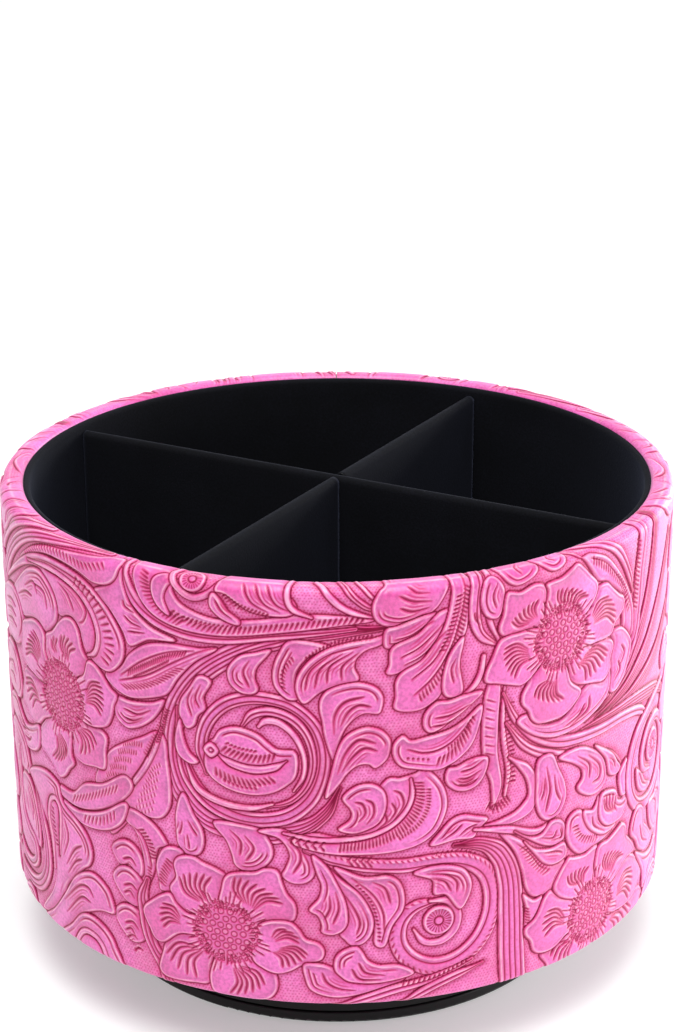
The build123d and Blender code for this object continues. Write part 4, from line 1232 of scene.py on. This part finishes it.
# ring scroll at the far right
stem([(110, 58), (100, 55), (91, 50.6), (87, 43.6), (87.4, 36.4), (91.2, 30.8), (97.4, 28), (104.6, 28.6),
      (110.4, 32.6), (112.6, 39.4), (110.4, 46), (105, 49.6), (98.4, 48.6), (94.8, 43.6), (96.2, 38.6),
      (101, 36.6)], (0.6, 1.7, 1.9, 1.9, 1.9, 1.9, 1.9, 1.8, 1.8, 1.8, 1.7, 1.6, 1.6, 1.5, 1.3, 0.8),
     ribs=(0.4,), drop=0.6)
boss((102.4, 42.6), 4.6, 22)
shape([(91, 40), (92.6, 34.4), (97, 31.6), (102, 31.8), (98, 34), (94.4, 38)])
knife([(100, 32.6), (95.6, 34.6), (92.8, 38.6)], 0.6)
print("curls:", tally())

# %% Draw the lower right flower and leaves
flower((70.5, 9.4), 8.6, 12.2, [
    ([(60, 8), (57, 4.6), (53, 3.4), (55, 0), (56, -4), (70, -4), (72, 4)],
     [((64, 5), (57, 2.4), (63, -1.4), 5)]),
    ([(80, 6), (89, 4), (96, 4.6), (99, 1), (98, -4), (74, -4), (74, 4)],
     [((78, 4.6), (89, 1.6), (81, -1.6), 5)]),
    ([(64, 16), (58.5, 18), (55.5, 20.4), (53.5, 19), (52, 16), (50.5, 14), (48, 12.5), (48, 10.5),
      (49.5, 8.5), (50.5, 5.5), (53, 4), (57, 4), (61, 6), (66, 8)],
     [((62.6, 10), (55.4, 14.4), (55, 8.6), 5)]),
    ([(78, 14), (84, 17), (88, 17.4), (92, 15.6), (96, 12.6), (98, 9), (94, 5), (89, 3.6), (83, 4),
      (77, 6)],
     [((79, 10), (88.4, 12.6), (87.4, 5.4), 6)]),
    ([(61.5, 27.5), (63, 27), (67, 26.3), (70.5, 27), (73, 26.3), (72, 24), (71.6, 18), (68, 14),
      (62, 16), (58.5, 18), (56.6, 21), (58.5, 24.5), (60.5, 26.8)],
     [((66, 17.4), (61.6, 22), (68.4, 21.8), 6)]),
    ([(73.2, 26.4), (77, 26.6), (80.5, 27.6), (83.5, 28.4), (85.7, 27), (86.3, 24), (88.5, 22),
      (90.7, 19.5), (90.6, 17.4), (86, 17), (80, 14), (74, 14), (71.8, 20), (72, 24)],
     [((76.4, 16), (75.6, 22.4), (83.4, 18.8), 7)]),
])
# leaves at the lower right
shape([(90, 27), (93, 29), (97, 27), (98, 22.4), (102, 19), (105, 15), (100, 13.4), (95, 16), (92, 20),
       (89, 23)], nest=(150, 1))
knife([(101, 15.6), (97, 18), (94.6, 23)], 0.65)
shape([(93, 15.6), (100, 12), (106, 10.6), (112, 12), (112, 6), (106, 2), (100, 2), (98.6, 8)],
      nest=(60, 1))
knife([(110, 9.4), (105, 8), (101.6, 5)], 0.65)
stem([(98, 0), (106, -1), (116, 3), (122, 12), (123, 24), (119, 36), (114, 46)],
     (0.6, 1.4, 1.8, 2.0, 2.0, 1.6, 0.5), ribs=(-0.2, 0.4))
shape([(102, 26), (108, 26), (114, 30), (117, 25), (116, 18), (110, 15), (106, 17), (103, 21)],
      nest=(-60, 1))
knife([(106, 25), (109.6, 23), (110, 18.6)], 0.65)
knife([(109, 26.6), (113, 24.6), (113.4, 20)], 0.65)
print("lower right:", tally())

# %% [markdown]
# ## The far side
#
# The side away from the camera isn't known, so it repeats what the rest shows: the left flower stands
# here a second time, higher up, and the hooked lobes and the paisley leaf come back mirrored. Single
# lobes fill the ground between them, as a leather worker would do.

# %% Draw the far side
def set_place(right=0.0, up=0.0, flip=1.0):
    place.update(right=right, up=up, flip=flip)


set_place(214, 17.4)
left_flower()
set_place(148, -34, -1)
hooked_lobes()
paisley_leaf()
set_place()
print("far side:", tally())

# %% Fill the ground between
for i, outline in enumerate((
    [(110, 50.5), (116, 55.5), (124, 58.5), (131, 58), (135, 54.5), (130, 52.5), (124, 49), (118, 45.5),
     (112, 45)],
    [(116, 42.5), (122, 45), (127, 44), (130.5, 40), (130, 34.5), (126, 31), (120.5, 31.5), (117, 35),
     (118, 39)],
    [(108, 65), (113, 69), (118, 67), (122, 62), (116, 60), (110, 60.5)],
    [(139, 61.5), (146, 65.5), (153, 66), (158, 63), (153, 59.5), (146, 58.6)],
    [(146.5, 31), (151, 34.5), (157, 32.5), (160, 27), (157.5, 22), (151.5, 22.5), (148, 26.5)],
    [(148, 19), (153, 20.5), (158, 18), (160, 13.5), (156, 10), (150.5, 11.5), (147.5, 15.5)],
    [(100, 117), (102.6, 109), (108, 103.5), (114, 101.5), (119.5, 104), (121.5, 109), (120, 117)],
    [(124, 117), (126, 110.5), (131, 108.5), (137, 109.5), (142.5, 112), (144, 117)],
    [(146, 117), (147, 109), (151, 104.6), (155, 106), (157, 111), (157.5, 117)],
    [(98, -4), (102, 2.5), (108, 5), (114, 3.5), (118.5, -4)],
    [(121.5, -4), (126, 1.5), (133, 2.2), (139, -4)],
    [(141.5, -4), (146, 2.6), (152, 3), (158, 0), (160.5, -4)],
    [(163, -4), (167, 1.4), (173, 2), (177, -4)],
)):
    shape(outline, nest=((60, 200, 110)[i % 3], 2))
for cut in (
    [(114, 48.5), (121, 52), (128, 55.5)],
    [(118, 47.6), (124, 51), (130, 54.6)],
    [(119.6, 41.4), (123.6, 40.4), (125.6, 36)],
    [(121, 43), (126, 41.8), (128.2, 37)],
    [(111, 63), (114.6, 65.4), (117.6, 64)],
    [(143, 62), (149, 63.4), (154, 62.6)],
    [(149.4, 30), (153, 30), (154.6, 26)],
    [(151, 32.4), (155.6, 30.6), (157.2, 26.6)],
    [(150, 17.4), (154, 17.4), (156.6, 14)],
    [(105, 112), (109, 107.4), (113.6, 105.4)],
    [(109, 113), (113, 109.4), (117, 107.4)],
    [(128, 113), (133, 111.6), (138, 113)],
    [(149.4, 112), (151, 108.4), (153, 108)],
    [(104, -1), (107.6, 1.6), (111.6, 0.6)],
    [(145, -2), (149, 0.2), (154, -0.4)],
):
    knife(cut, 0.6)
print("lobes between:", tally(), "- bare ground", f"{matted.mean():.0%}")

# %% [markdown]
# ## Softening, matting and dye
#
# Pressed leather has no razor edges, so the grid is blurred by a tenth of a millimetre. The bare ground
# is matted with a fine stamp, which leaves rows of little pits. Then come the colours: dye stays in the
# cuts that the tools marked and in the pits, and the lips and whatever stands higher than its
# surroundings are paled, partly as wear of the dye and partly as a painted highlight. The painted shade
# along the upper sides of shapes is softened. All are kept as numbers for each point, which the material
# turns into colour.

# %% Finish the grid
def blur(values, reach):
    """A soft blur over a distance in millimetres. Columns wrap round, rows end."""
    spread = reach / CELL
    half = math.ceil(3 * spread)
    taps = np.exp(-0.5 * (np.arange(-half, half + 1) / spread) ** 2)
    taps /= taps.sum()
    across = sum(w * np.roll(values, k - half, axis=1) for k, w in enumerate(taps))
    tall = np.pad(across, ((half, half), (0, 0)), mode="edge")
    return sum(w * tall[k:k + len(values)] for k, w in enumerate(taps))


def stamp_distance(pitch, wobble, seed):
    """Distance from each cell to the nearest point of a slightly uneven stamp pattern."""
    across = round(REPEAT / pitch)
    step = REPEAT / across
    up_step = step * 0.866
    rows_of = math.ceil(ROWS * CELL / up_step) + 3
    random = np.random.default_rng(seed)
    shift = random.uniform(-wobble, wobble, (rows_of + 2, across, 2))
    a, h = np.meshgrid(np.arange(COLUMNS) * CELL, np.arange(ROWS) * CELL)
    j0 = np.floor(h / up_step).astype(int)
    best = np.full(a.shape, 9.0)
    for j in (j0, j0 + 1):
        i0 = np.floor(a / step - 0.5 * (j % 2)).astype(int)
        for i in (i0, i0 + 1):
            dx, dy = np.moveaxis(shift[j, i % across], -1, 0)
            best = np.minimum(best, np.hypot((i + 0.5 * (j % 2)) * step + dx - a, j * up_step + dy - h))
    return best


PIT_PITCH, PIT_DEPTH, PIT_RADIUS, PIT_WOBBLE = 0.84, 0.10, 0.19, 0.14
ground = blur(matted, 0.25)
pits = np.exp(-(stamp_distance(PIT_PITCH, PIT_WOBBLE, 11) / PIT_RADIUS) ** 2)
height = blur(relief, 0.09) - PIT_DEPTH * ground * pits
near_by = blur(height, 0.5)
dye = np.clip(blur(ink, 0.05) + 0.5 * ground * pits, 0, 1)
# pale where the surface stands above its surroundings: partly wear of the dye, partly a painted highlight
raised = np.maximum(crest, 0.6 * (height - near_by - 0.08) / 0.10)
worn_and_highlit = np.clip(raised + 0.2 * ground * (1 - pits), 0, 1)
# painted shade along the upper sides of shapes, softened
painted_shade = blur(shaded, 0.15)
print("relief from", round(float(height.min()), 2), "to", round(float(height.max()), 2), "mm")

# %% [markdown]
# ## Rolling the sheet round the drum
#
# The leather is one sheet: it starts under the drum, comes round the bottom edge, goes up the wall, over
# the rounded rim and down inside, where the lining covers it. Its section is a line with a length of its
# own, so each row of the grid has a place on it and a direction to be pressed in. Every row is turned
# round the axis, and a second, plain layer closes the sheet at the back. Both layers end at the seam.

# %% The sheet's section
SHEET_THICKNESS = 0.8
UNDER_Z, CREST_Z = 20.4, 128.4
UNDER_R, TURN_IN_R, TURN_IN_Z = 76.0, 81.0, 112.4
FOOT_ROUND, RIM_ROUND, TURN_IN_ROUND = 1.35, 2.65, 1.65

rim_starts = CREST_Z - RIM_ROUND - UNDER_Z
rim_ends = rim_starts + RIM_ROUND * math.pi / 2
flat_ends = rim_ends + DRUM_RADIUS - RIM_ROUND - TURN_IN_R - TURN_IN_ROUND
fold_ends = flat_ends + TURN_IN_ROUND * math.pi / 2
sheet_top = fold_ends + CREST_Z - TURN_IN_ROUND - TURN_IN_Z
foot_starts = FOOT_ROUND - FOOT_ROUND * math.pi / 2
sheet_bottom = foot_starts - (DRUM_RADIUS - FOOT_ROUND - UNDER_R)


def section(v):
    """Radius, height and outward direction at a length v up the sheet, in millimetres."""
    if v < foot_starts:
        return DRUM_RADIUS - FOOT_ROUND + v - foot_starts, UNDER_Z, 0.0, -1.0
    if v < FOOT_ROUND:
        t = (v - foot_starts) / FOOT_ROUND
        out, rise = math.sin(t), -math.cos(t)
        return DRUM_RADIUS - FOOT_ROUND * (1 - out), UNDER_Z + FOOT_ROUND * (1 + rise), out, rise
    if v < rim_starts:
        return DRUM_RADIUS, UNDER_Z + v, 1.0, 0.0
    if v < rim_ends:
        t = (v - rim_starts) / RIM_ROUND
        out, rise = math.cos(t), math.sin(t)
        return DRUM_RADIUS - RIM_ROUND * (1 - out), CREST_Z - RIM_ROUND * (1 - rise), out, rise
    if v < flat_ends:
        return DRUM_RADIUS - RIM_ROUND - (v - rim_ends), CREST_Z, 0.0, 1.0
    if v < fold_ends:
        t = (v - flat_ends) / TURN_IN_ROUND
        out, rise = -math.sin(t), math.cos(t)
        return TURN_IN_R + TURN_IN_ROUND * (1 + out), CREST_Z - TURN_IN_ROUND * (1 - rise), out, rise
    return TURN_IN_R, CREST_Z - TURN_IN_ROUND - (v - fold_ends), -1.0, 0.0


print("sheet", round(sheet_top - sheet_bottom, 1), "mm wide,", round(2 * REPEAT, 1), "mm long")

# %% Roll the tooled wrap
SEAM_SLIT = 0.3
PATTERN_FOOT = 1.1
SEAM_OPPOSITE = math.radians(-61.0)


def new_mesh(name, points, faces):
    """A smooth-shaded mesh object from points in millimetres."""
    mesh = bpy.data.meshes.new(name)
    mesh.from_pydata(np.asarray(points) * MM, [], faces)
    mesh.shade_smooth()
    piece = bpy.data.objects.new(name, mesh)
    bpy.context.scene.collection.objects.link(piece)
    return piece


def grid_faces(rows, columns, start=0, flip=False):
    """Quads of a grid of points, whose numbers begin at start."""
    corner = start + np.arange(rows - 1)[:, None] * columns + np.arange(columns - 1)
    quads = np.stack([corner, corner + 1, corner + columns + 1, corner + columns], -1).reshape(-1, 4)
    return quads[:, ::-1] if flip else quads


fine_rows = np.arange(foot_starts, fold_ends, CELL)
front_v = np.concatenate([
    np.arange(sheet_bottom, foot_starts, 1.9),
    fine_rows,
    np.linspace(fold_ends, sheet_top, 8),
])
back_v = np.concatenate([
    np.linspace(sheet_bottom, foot_starts, 3)[:-1],
    np.linspace(foot_starts, FOOT_ROUND, 5)[:-1],
    np.linspace(FOOT_ROUND, rim_starts, 9)[:-1],
    np.linspace(rim_starts, rim_ends, 7)[:-1],
    np.linspace(flat_ends, fold_ends, 7),
    np.linspace(fold_ends, sheet_top, 3)[1:],
])
column = np.arange(2 * COLUMNS + 1)
arc = (column - COLUMNS) * CELL
arc[0] += SEAM_SLIT / 2
arc[-1] -= SEAM_SLIT / 2
angle = SEAM_OPPOSITE + arc / DRUM_RADIUS
canvas_column = (column - COLUMNS + COLUMNS // 2) % COLUMNS
canvas_row = np.clip(np.round((front_v - PATTERN_FOOT - SHEET_LOW) / CELL).astype(int), 0, ROWS - 1)


def ease(values, low, high):
    """0 below low, 1 above high, and smooth between."""
    t = np.clip((values - low) / (high - low), 0, 1)
    return t * t * (3 - 2 * t)


# the pattern ends under the foot and inside the rim, and is shallower beside both
fade = ease(front_v, -2.0, 0.5) * (1 - ease(front_v, 110.5, 113.5))
calm = (0.4 + 0.6 * ease(front_v, 0.3, 3.5)) * (1 - 0.5 * ease(front_v, 104.5, 108.0))
pressed = height[np.ix_(canvas_row, canvas_column)] * (fade * calm)[:, None]


def turned(v_values, push):
    """Points of the section turned round the axis, pushed out by a height for each."""
    r, z, out, rise = np.array([section(v) for v in v_values]).T[:, :, None]
    reach = r + push * out
    spots = [reach * np.cos(angle), reach * np.sin(angle), z + push * rise + 0 * angle]
    return np.stack(spots, -1).reshape(-1, 3)


front = turned(front_v, pressed)
back = turned(back_v, np.full((len(back_v), 1), -SHEET_THICKNESS))
wide = len(column)
front_count = len(front)
faces = grid_faces(len(front_v), wide).tolist()
faces += grid_faces(len(back_v), wide, front_count, True).tolist()
front_top = (len(front_v) - 1) * wide
back_top = front_count + (len(back_v) - 1) * wide
for j in range(wide - 1):
    faces.append((j + 1, j, front_count + j, front_count + j + 1))
    faces.append((front_top + j, front_top + j + 1, back_top + j + 1, back_top + j))
for j, flip in ((0, 1), (wide - 1, -1)):
    up_front = [i * wide + j for i in range(len(front_v))]
    down_back = [front_count + i * wide + j for i in range(len(back_v))][::-1]
    faces.append((up_front + down_back)[::flip])
wrap = new_mesh("tooled_wrap", np.concatenate([front, back]), faces)
print("tooled wrap:", len(wrap.data.vertices), "points,", len(wrap.data.polygons), "faces")

# %% Store dye, wear, painted highlight and painted shade on the wrap
on_sheet = np.ix_(canvas_row, canvas_column)
layers = [np.clip(layer, 0, 1)[on_sheet] for layer in (dye, worn_and_highlit, ground, painted_shade)]
# painted highlight: a pale line along the top of the rounded rim, where light catches the edge
layers[1] = np.maximum(layers[1], 0.8 * np.exp(-((front_v - rim_ends + 0.2) / 0.4) ** 2)[:, None])
tone = np.zeros((front_count + len(back), 4), np.float32)
tone[:front_count] = (np.stack(layers, -1) * fade[:, None, None]).reshape(-1, 4)
wrap.data.attributes.new("tooling", "FLOAT_COLOR", "POINT").data.foreach_set("color", tone.ravel())
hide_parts("leather_wrap")
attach(wrap, "drum")
print("mean dye", round(float(dye.mean()), 2), "mean rubbing", round(float(worn_and_highlit.mean()), 2))

# %% [markdown]
# ## Pink leather
#
# The leather is a bright pink with dark red in the cuts, pale pink on the raised edges, partly from wear
# and partly as a painted highlight, and a painted shade in dull mauve along the upper sides of the
# leaves. All three come from the points, as an attribute. Broad noise makes the body uneven, as hand
# dyeing does, and finer noise changes the gloss. A weak sheen stands for the wax, which veils the leather
# where it is seen from the side. The grain is a bump, because it is far finer than the mesh.

# %% Leather finish
PINK_BODY = (0.91, 0.168, 0.58)
PINK_WARM = (0.80, 0.098, 0.40)
PINK_RED = (0.59, 0.032, 0.165)
PINK_DEEP = (0.21, 0.002, 0.036)
# pale lips: partly wear of the dye, partly a painted highlight
PINK_PALE = (1.0, 0.50, 0.68)
# colour of the painted shade
MAUVE_SHADE = (0.41, 0.072, 0.24)


def pink_leather():
    mat, shader = start_finish("pink_leather", Sheen_Weight=0.25, Sheen_Roughness=0.4)
    tooling = add_node(mat, "ShaderNodeAttribute", {"attribute_name": "tooling"})
    parts = add_node(mat, "ShaderNodeSeparateColor", Color=tooling.outputs["Color"])
    dyed, pale, bare = parts.outputs[0], parts.outputs[1], parts.outputs[2]
    cloud = noise(mat, 60.0, 4.0)
    speck = noise(mat, 900.0, 2.0)
    body = ramp(mat, cloud, [(0.35, PINK_WARM), (0.62, PINK_BODY)])
    # painted shade: dull mauve mixed into the body in patches
    patch = ramp(mat, noise(mat, 140.0, 2.0), [(0.36, (0.25, 0.25, 0.25)), (0.62, (0.9, 0.9, 0.9))])
    body = mix(mat, maths(mat, "MULTIPLY", tooling.outputs["Alpha"], patch), body, MAUVE_SHADE)
    fleck = ramp(mat, noise(mat, 1300.0, 3.0), [(0.35, (0.80, 0.68, 0.74)), (0.6, (1.0, 1.0, 1.0))])
    body = mix(mat, 1.0, body, fleck, "MULTIPLY")
    pale_breakup = ramp(mat, noise(mat, 330.0, 2.0), [(0.36, (0.35, 0.35, 0.35)), (0.60, (0.95, 0.95, 0.95))])
    # pale lips and crests: partly wear of the dye, partly a painted highlight, broken up by noise
    colour = mix(mat, maths(mat, "MULTIPLY", pale, pale_breakup), body, PINK_PALE)
    colour = mix(mat, maths(mat, "MULTIPLY", dyed, 2.0), colour, PINK_RED)
    colour = mix(mat, maths(mat, "MULTIPLY_ADD", dyed, 2.0, -1.0), colour, PINK_DEEP)
    join(mat, colour, shader.inputs["Base Color"])
    gloss = maths(mat, "MULTIPLY_ADD", speck, 0.16, 0.34)
    gloss = maths(mat, "MULTIPLY_ADD", bare, 0.12, gloss)
    join(mat, gloss, shader.inputs["Roughness"])
    join(mat, maths(mat, "MULTIPLY_ADD", dyed, -0.65, 0.75), shader.inputs["Specular IOR Level"])
    bump(mat, shader, noise(mat, 1700.0, 3.0), 0.00004, 0.6)
    return mat


wrap.data.materials.append(pink_leather())
print("leather on", wrap.name)

# %% [markdown]
# ## Velvet pieces
#
# Inside, everything is covered with short black velvet: the wall, the floor and both dividers. Glued
# velvet is never quite flat, so each sheet gets a shallow ripple, always away from the compartment. Each
# is one layer of faces, and Blender's Solidify modifier gives it its thickness.

# %% Ripples and thickness
def ripple(x, y, seed):
    """Shallow waves of several lengths, from 0 to 1, over two directions in millimetres."""
    random = np.random.default_rng(seed)
    waves = np.zeros(np.broadcast(x, y).shape)
    for length in (48, 37, 29, 22, 16, 11):
        turn_by = random.uniform(0, 2 * math.pi)
        phase = random.uniform(0, 2 * math.pi)
        onward = x * math.cos(turn_by) + y * math.sin(turn_by)
        waves += length * np.sin(onward * 2 * math.pi / length + phase)
    return 0.5 + 0.5 * waves / np.abs(waves).max()


def velvet_sheet(name, points, faces, thickness, node):
    """A velvet piece that takes a CAD node's place on the drum."""
    piece = new_mesh(name, points, faces)
    layer = piece.modifiers.new("thickness", "SOLIDIFY")
    layer.thickness = thickness * MM
    layer.offset = -1.0
    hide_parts(node)
    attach(piece, "drum")
    return piece


RIPPLE = 0.2
LINING_PILE, FLOOR_PILE, DIVIDER_PILE = 0.6, 0.4, 0.5
print("ripple depth", RIPPLE, "mm")

# %% Line the wall
LINING_R, LINING_LOW, LINING_TOP = 79.3, 26.25, 127.4
LINING_FOLD, LINING_EDGE_R = 1.2, 80.95


def line_wall():
    rows_up, around_count = 90, 480
    straight = np.linspace(LINING_LOW, LINING_TOP - LINING_FOLD, rows_up)
    fold = np.linspace(0, math.pi / 2, 9)[1:]
    rounded = LINING_R + LINING_FOLD * (1 - np.cos(fold))
    r = np.concatenate([np.full(rows_up, LINING_R), rounded, [LINING_EDGE_R]])
    z = np.concatenate([straight, LINING_TOP - LINING_FOLD * (1 - np.sin(fold)), [LINING_TOP]])
    theta = np.arange(around_count + 1) * 2 * math.pi / around_count
    wave = ripple(np.sin(theta)[None, :] * LINING_R + 40 * np.cos(2 * theta), z[:, None], 3)
    depth = RIPPLE * wave * (1 - ease(z, 120, 125))[:, None]
    reach = r[:, None] + depth
    points = np.stack([reach * np.cos(theta), reach * np.sin(theta), z[:, None] + 0 * theta], -1)
    points = points[:, :-1].reshape(-1, 3)
    quads = grid_faces(len(z), around_count + 1, flip=True)
    quads = quads // (around_count + 1) * around_count + quads % (around_count + 1) % around_count
    return velvet_sheet(
        "velvet_lining", points, quads.tolist(), LINING_PILE, "lining_velvet",
    )


lining = line_wall()
print("lining:", len(lining.data.polygons), "faces")

# %% Cover the floor
FLOOR_R, FLOOR_Z = 79.1, 26.9


def cover_floor():
    around_count = 240
    rings = np.linspace(0, FLOOR_R, 61)[1:]
    theta = np.arange(around_count) * 2 * math.pi / around_count
    after = np.roll(np.arange(around_count), -1).tolist()
    x = np.concatenate([[0.0], (rings[:, None] * np.cos(theta)).ravel()])
    y = np.concatenate([[0.0], (rings[:, None] * np.sin(theta)).ravel()])
    z = FLOOR_Z - RIPPLE * ripple(x, y, 5)
    faces = [(0, 1 + i, 1 + j) for i, j in enumerate(after)]
    for k in range(len(rings) - 1):
        a, b = 1 + around_count * k, 1 + around_count * (k + 1)
        faces += [(a + i, b + i, b + j, a + j) for i, j in enumerate(after)]
    return velvet_sheet(
        "velvet_floor", np.stack([x, y, z], -1), faces, FLOOR_PILE, "floor_velvet",
    )


floor_cover = cover_floor()
print("floor cover:", len(floor_cover.data.polygons), "faces")

# %% [markdown]
# ## The two dividers
#
# Each divider is a board with one piece of velvet folded over its top edge. The boards cross in a
# half-lap: the main one is slotted from below and the cross one from above. The velvet is a grid that
# goes up one face, round the top and down the other, with the cells in the slot left out.

# %% Fold velvet over the dividers
DIVIDER_HALF, DIVIDER_END, DIVIDER_TOP = 1.55, 79.13, 125.4
LAP_Z, SLOT_HALF = 76.15, 1.65


def fold_divider(name, node, along_y, slot_below, seed):
    low_part = np.linspace(FLOOR_Z, LAP_Z, 40)
    high_part = np.linspace(LAP_Z, DIVIDER_TOP - DIVIDER_HALF, 40)[1:]
    side_z = np.concatenate([low_part, high_part])
    turn_over = np.linspace(0, math.pi, 15)[1:-1]
    z = np.concatenate([side_z, DIVIDER_TOP - DIVIDER_HALF * (1 - np.sin(turn_over)), side_z[::-1]])
    lean = np.concatenate([np.full(len(side_z), 1.0), np.cos(turn_over), np.full(len(side_z), -1.0)])
    half_run = np.concatenate([[SLOT_HALF], np.linspace(SLOT_HALF, DIVIDER_END, 66)[1:]])
    run = np.concatenate([-half_run[::-1], half_run])
    wave = ripple(run[None, :], (z + 150 * (lean < 0))[:, None], seed)
    calm = ease(np.abs(run), 2.5, 9.0) * (1 - ease(np.abs(run), 72, 78))
    depth = RIPPLE * wave * calm * (1 - ease(z, 116, 122))[:, None]
    across = lean[:, None] * (DIVIDER_HALF - depth)
    tall = z[:, None] + 0 * across
    length = run[None, :] + 0 * across
    points = np.stack([-across, length, tall] if along_y else [length, across, tall], -1).reshape(-1, 3)
    faces = grid_faces(len(z), len(run), flip=True).reshape(len(z) - 1, len(run) - 1, 4)
    middle_z = (z[:-1] + z[1:]) / 2
    in_slot = (middle_z < LAP_Z) if slot_below else (middle_z > LAP_Z)
    keep = np.ones(faces.shape[:2], bool)
    keep[in_slot, len(half_run) - 1] = False
    return velvet_sheet(
        name, points, faces[keep].tolist(), DIVIDER_PILE, node,
    )


main_divider = fold_divider(
    "velvet_main_divider", "divider_main_velvet", False, True, 21
)
cross_divider = fold_divider(
    "velvet_cross_divider", "divider_cross_velvet", True, False, 22
)
print("dividers:", len(main_divider.data.polygons), "and", len(cross_divider.data.polygons), "faces")

# %% [markdown]
# ## Black velvet
#
# Velvet swallows light: its base colour is almost black, and what shows is a faint bluish sheen where
# the pile is seen from the side. Brushed patches of pile lie in different directions, so low noise
# changes the colour a little, and fine noise gives the nap.

# %% Velvet finish
def black_velvet():
    mat, shader = start_finish(
        "black_velvet",
        Roughness=0.9,
        Specular_IOR_Level=0.15,
        Sheen_Weight=0.05,
        Sheen_Roughness=0.45,
        Sheen_Tint=(0.55, 0.62, 1.0, 1.0),
    )
    brushed = noise(mat, 45.0, 3.0)
    nap = noise(mat, 1900.0, 2.0)
    shade = ramp(mat, brushed, [(0.35, (0.0014, 0.0015, 0.0026)), (0.7, (0.0030, 0.0032, 0.0055))])
    lint = ramp(mat, nap, [(0.35, (0.55, 0.55, 0.55)), (0.75, (1.5, 1.5, 1.55))])
    join(mat, mix(mat, 1.0, shade, lint, "MULTIPLY"), shader.inputs["Base Color"])
    bump(mat, shader, nap, 0.00012, 0.5)
    return mat


velvet = black_velvet()
for piece in (lining, floor_cover, main_divider, cross_divider):
    piece.data.materials.append(velvet)
print("velvet on 4 pieces")

# %% [markdown]
# ## The moulded base
#
# The cup and the plate of the turntable are black plastic from a spark-eroded mould: dull, with a fine
# even grain. The CAD solids have the right shape, so they stay, and only get a better material.

# %% Plastic finish
def dress(material, *names):
    """Puts a material on CAD nodes in place of their plain one."""
    for name in names:
        nodes[name].data.materials.clear()
        nodes[name].data.materials.append(material)


def black_plastic():
    mat, shader = start_finish("black_plastic", Specular_IOR_Level=0.25)
    spark = noise(mat, 2600.0, 2.0)
    smear = noise(mat, 70.0, 3.0)
    tone = ramp(mat, smear, [(0.3, (0.0050, 0.0050, 0.0051)), (0.7, (0.0075, 0.0075, 0.0077))])
    join(mat, tone, shader.inputs["Base Color"])
    join(mat, maths(mat, "MULTIPLY_ADD", smear, 0.18, 0.40), shader.inputs["Roughness"])
    bump(mat, shader, spark, 0.00003, 0.7)
    return mat


dress(black_plastic(), "turntable_top", "base_plate")
print("plastic on the turntable")

# %% [markdown]
# ## Hidden pieces
#
# Boards, card, screws, balls and feet hardly show, but the part may be taken apart, so each has its own
# finish. Paper boards are flecked with fibre, the wood-fibre board is coarser, zinc plate is cloudy and
# slightly blue, and the balls are polished.

# %% Board, card and fibre
def flecked(name, light, dark, per_metre, roughness, grain_depth, stretch=None):
    """A dry fibrous finish: two tones of fleck and a soft grain."""
    mat, shader = start_finish(name, Roughness=roughness, Specular_IOR_Level=0.2)
    fleck = noise(mat, per_metre, 5.0, stretch, 0.65)
    join(mat, ramp(mat, fleck, [(0.32, dark), (0.68, light)]), shader.inputs["Base Color"])
    bump(mat, shader, fleck, grain_depth, 0.6)
    return mat


dress(
    flecked("grey_board", (0.46, 0.43, 0.39), (0.36, 0.33, 0.29), 420.0, 0.85, 0.00008, (1.0, 1.0, 0.25)),
    "drum_tube", "divider_main_board", "divider_cross_board",
)
dress(
    flecked("black_card", (0.034, 0.034, 0.036), (0.024, 0.024, 0.025), 700.0, 0.7, 0.00004),
    "lining_card", "bottom_cover",
)
dress(flecked("fibre_board", (0.50, 0.37, 0.24), (0.38, 0.27, 0.17), 300.0, 0.8, 0.0001), "floor_board")
dress(
    flecked("foot_rubber", (0.034, 0.034, 0.034), (0.025, 0.025, 0.025), 900.0, 0.8, 0.00003),
    "rubber_feet",
)
dress(flecked("cage_plastic", (0.78, 0.77, 0.73), (0.72, 0.71, 0.67), 150.0, 0.45, 0.00002), "ball_cage")
print("dry finishes done")

# %% Metal
def steel(name, light, dark, per_metre, smooth, rough):
    """Bare or plated metal: cloudy tone, and gloss that varies with it."""
    mat, shader = start_finish(name, Metallic=1.0)
    cloud = noise(mat, per_metre, 3.0)
    join(mat, ramp(mat, cloud, [(0.3, dark), (0.7, light)]), shader.inputs["Base Color"])
    join(mat, maths(mat, "MULTIPLY_ADD", cloud, rough - smooth, smooth), shader.inputs["Roughness"])
    bump(mat, shader, noise(mat, per_metre * 6, 2.0), 0.00001, 0.4)
    return mat


dress(
    steel("zinc_steel", (0.63, 0.64, 0.66), (0.53, 0.54, 0.57), 260.0, 0.28, 0.45),
    "turntable_screws", "pivot_bolt", "pivot_washer", "lock_nut",
)
dress(steel("bright_steel", (0.74, 0.74, 0.76), (0.69, 0.69, 0.71), 200.0, 0.06, 0.14), "bearing_balls")
print("metal done")
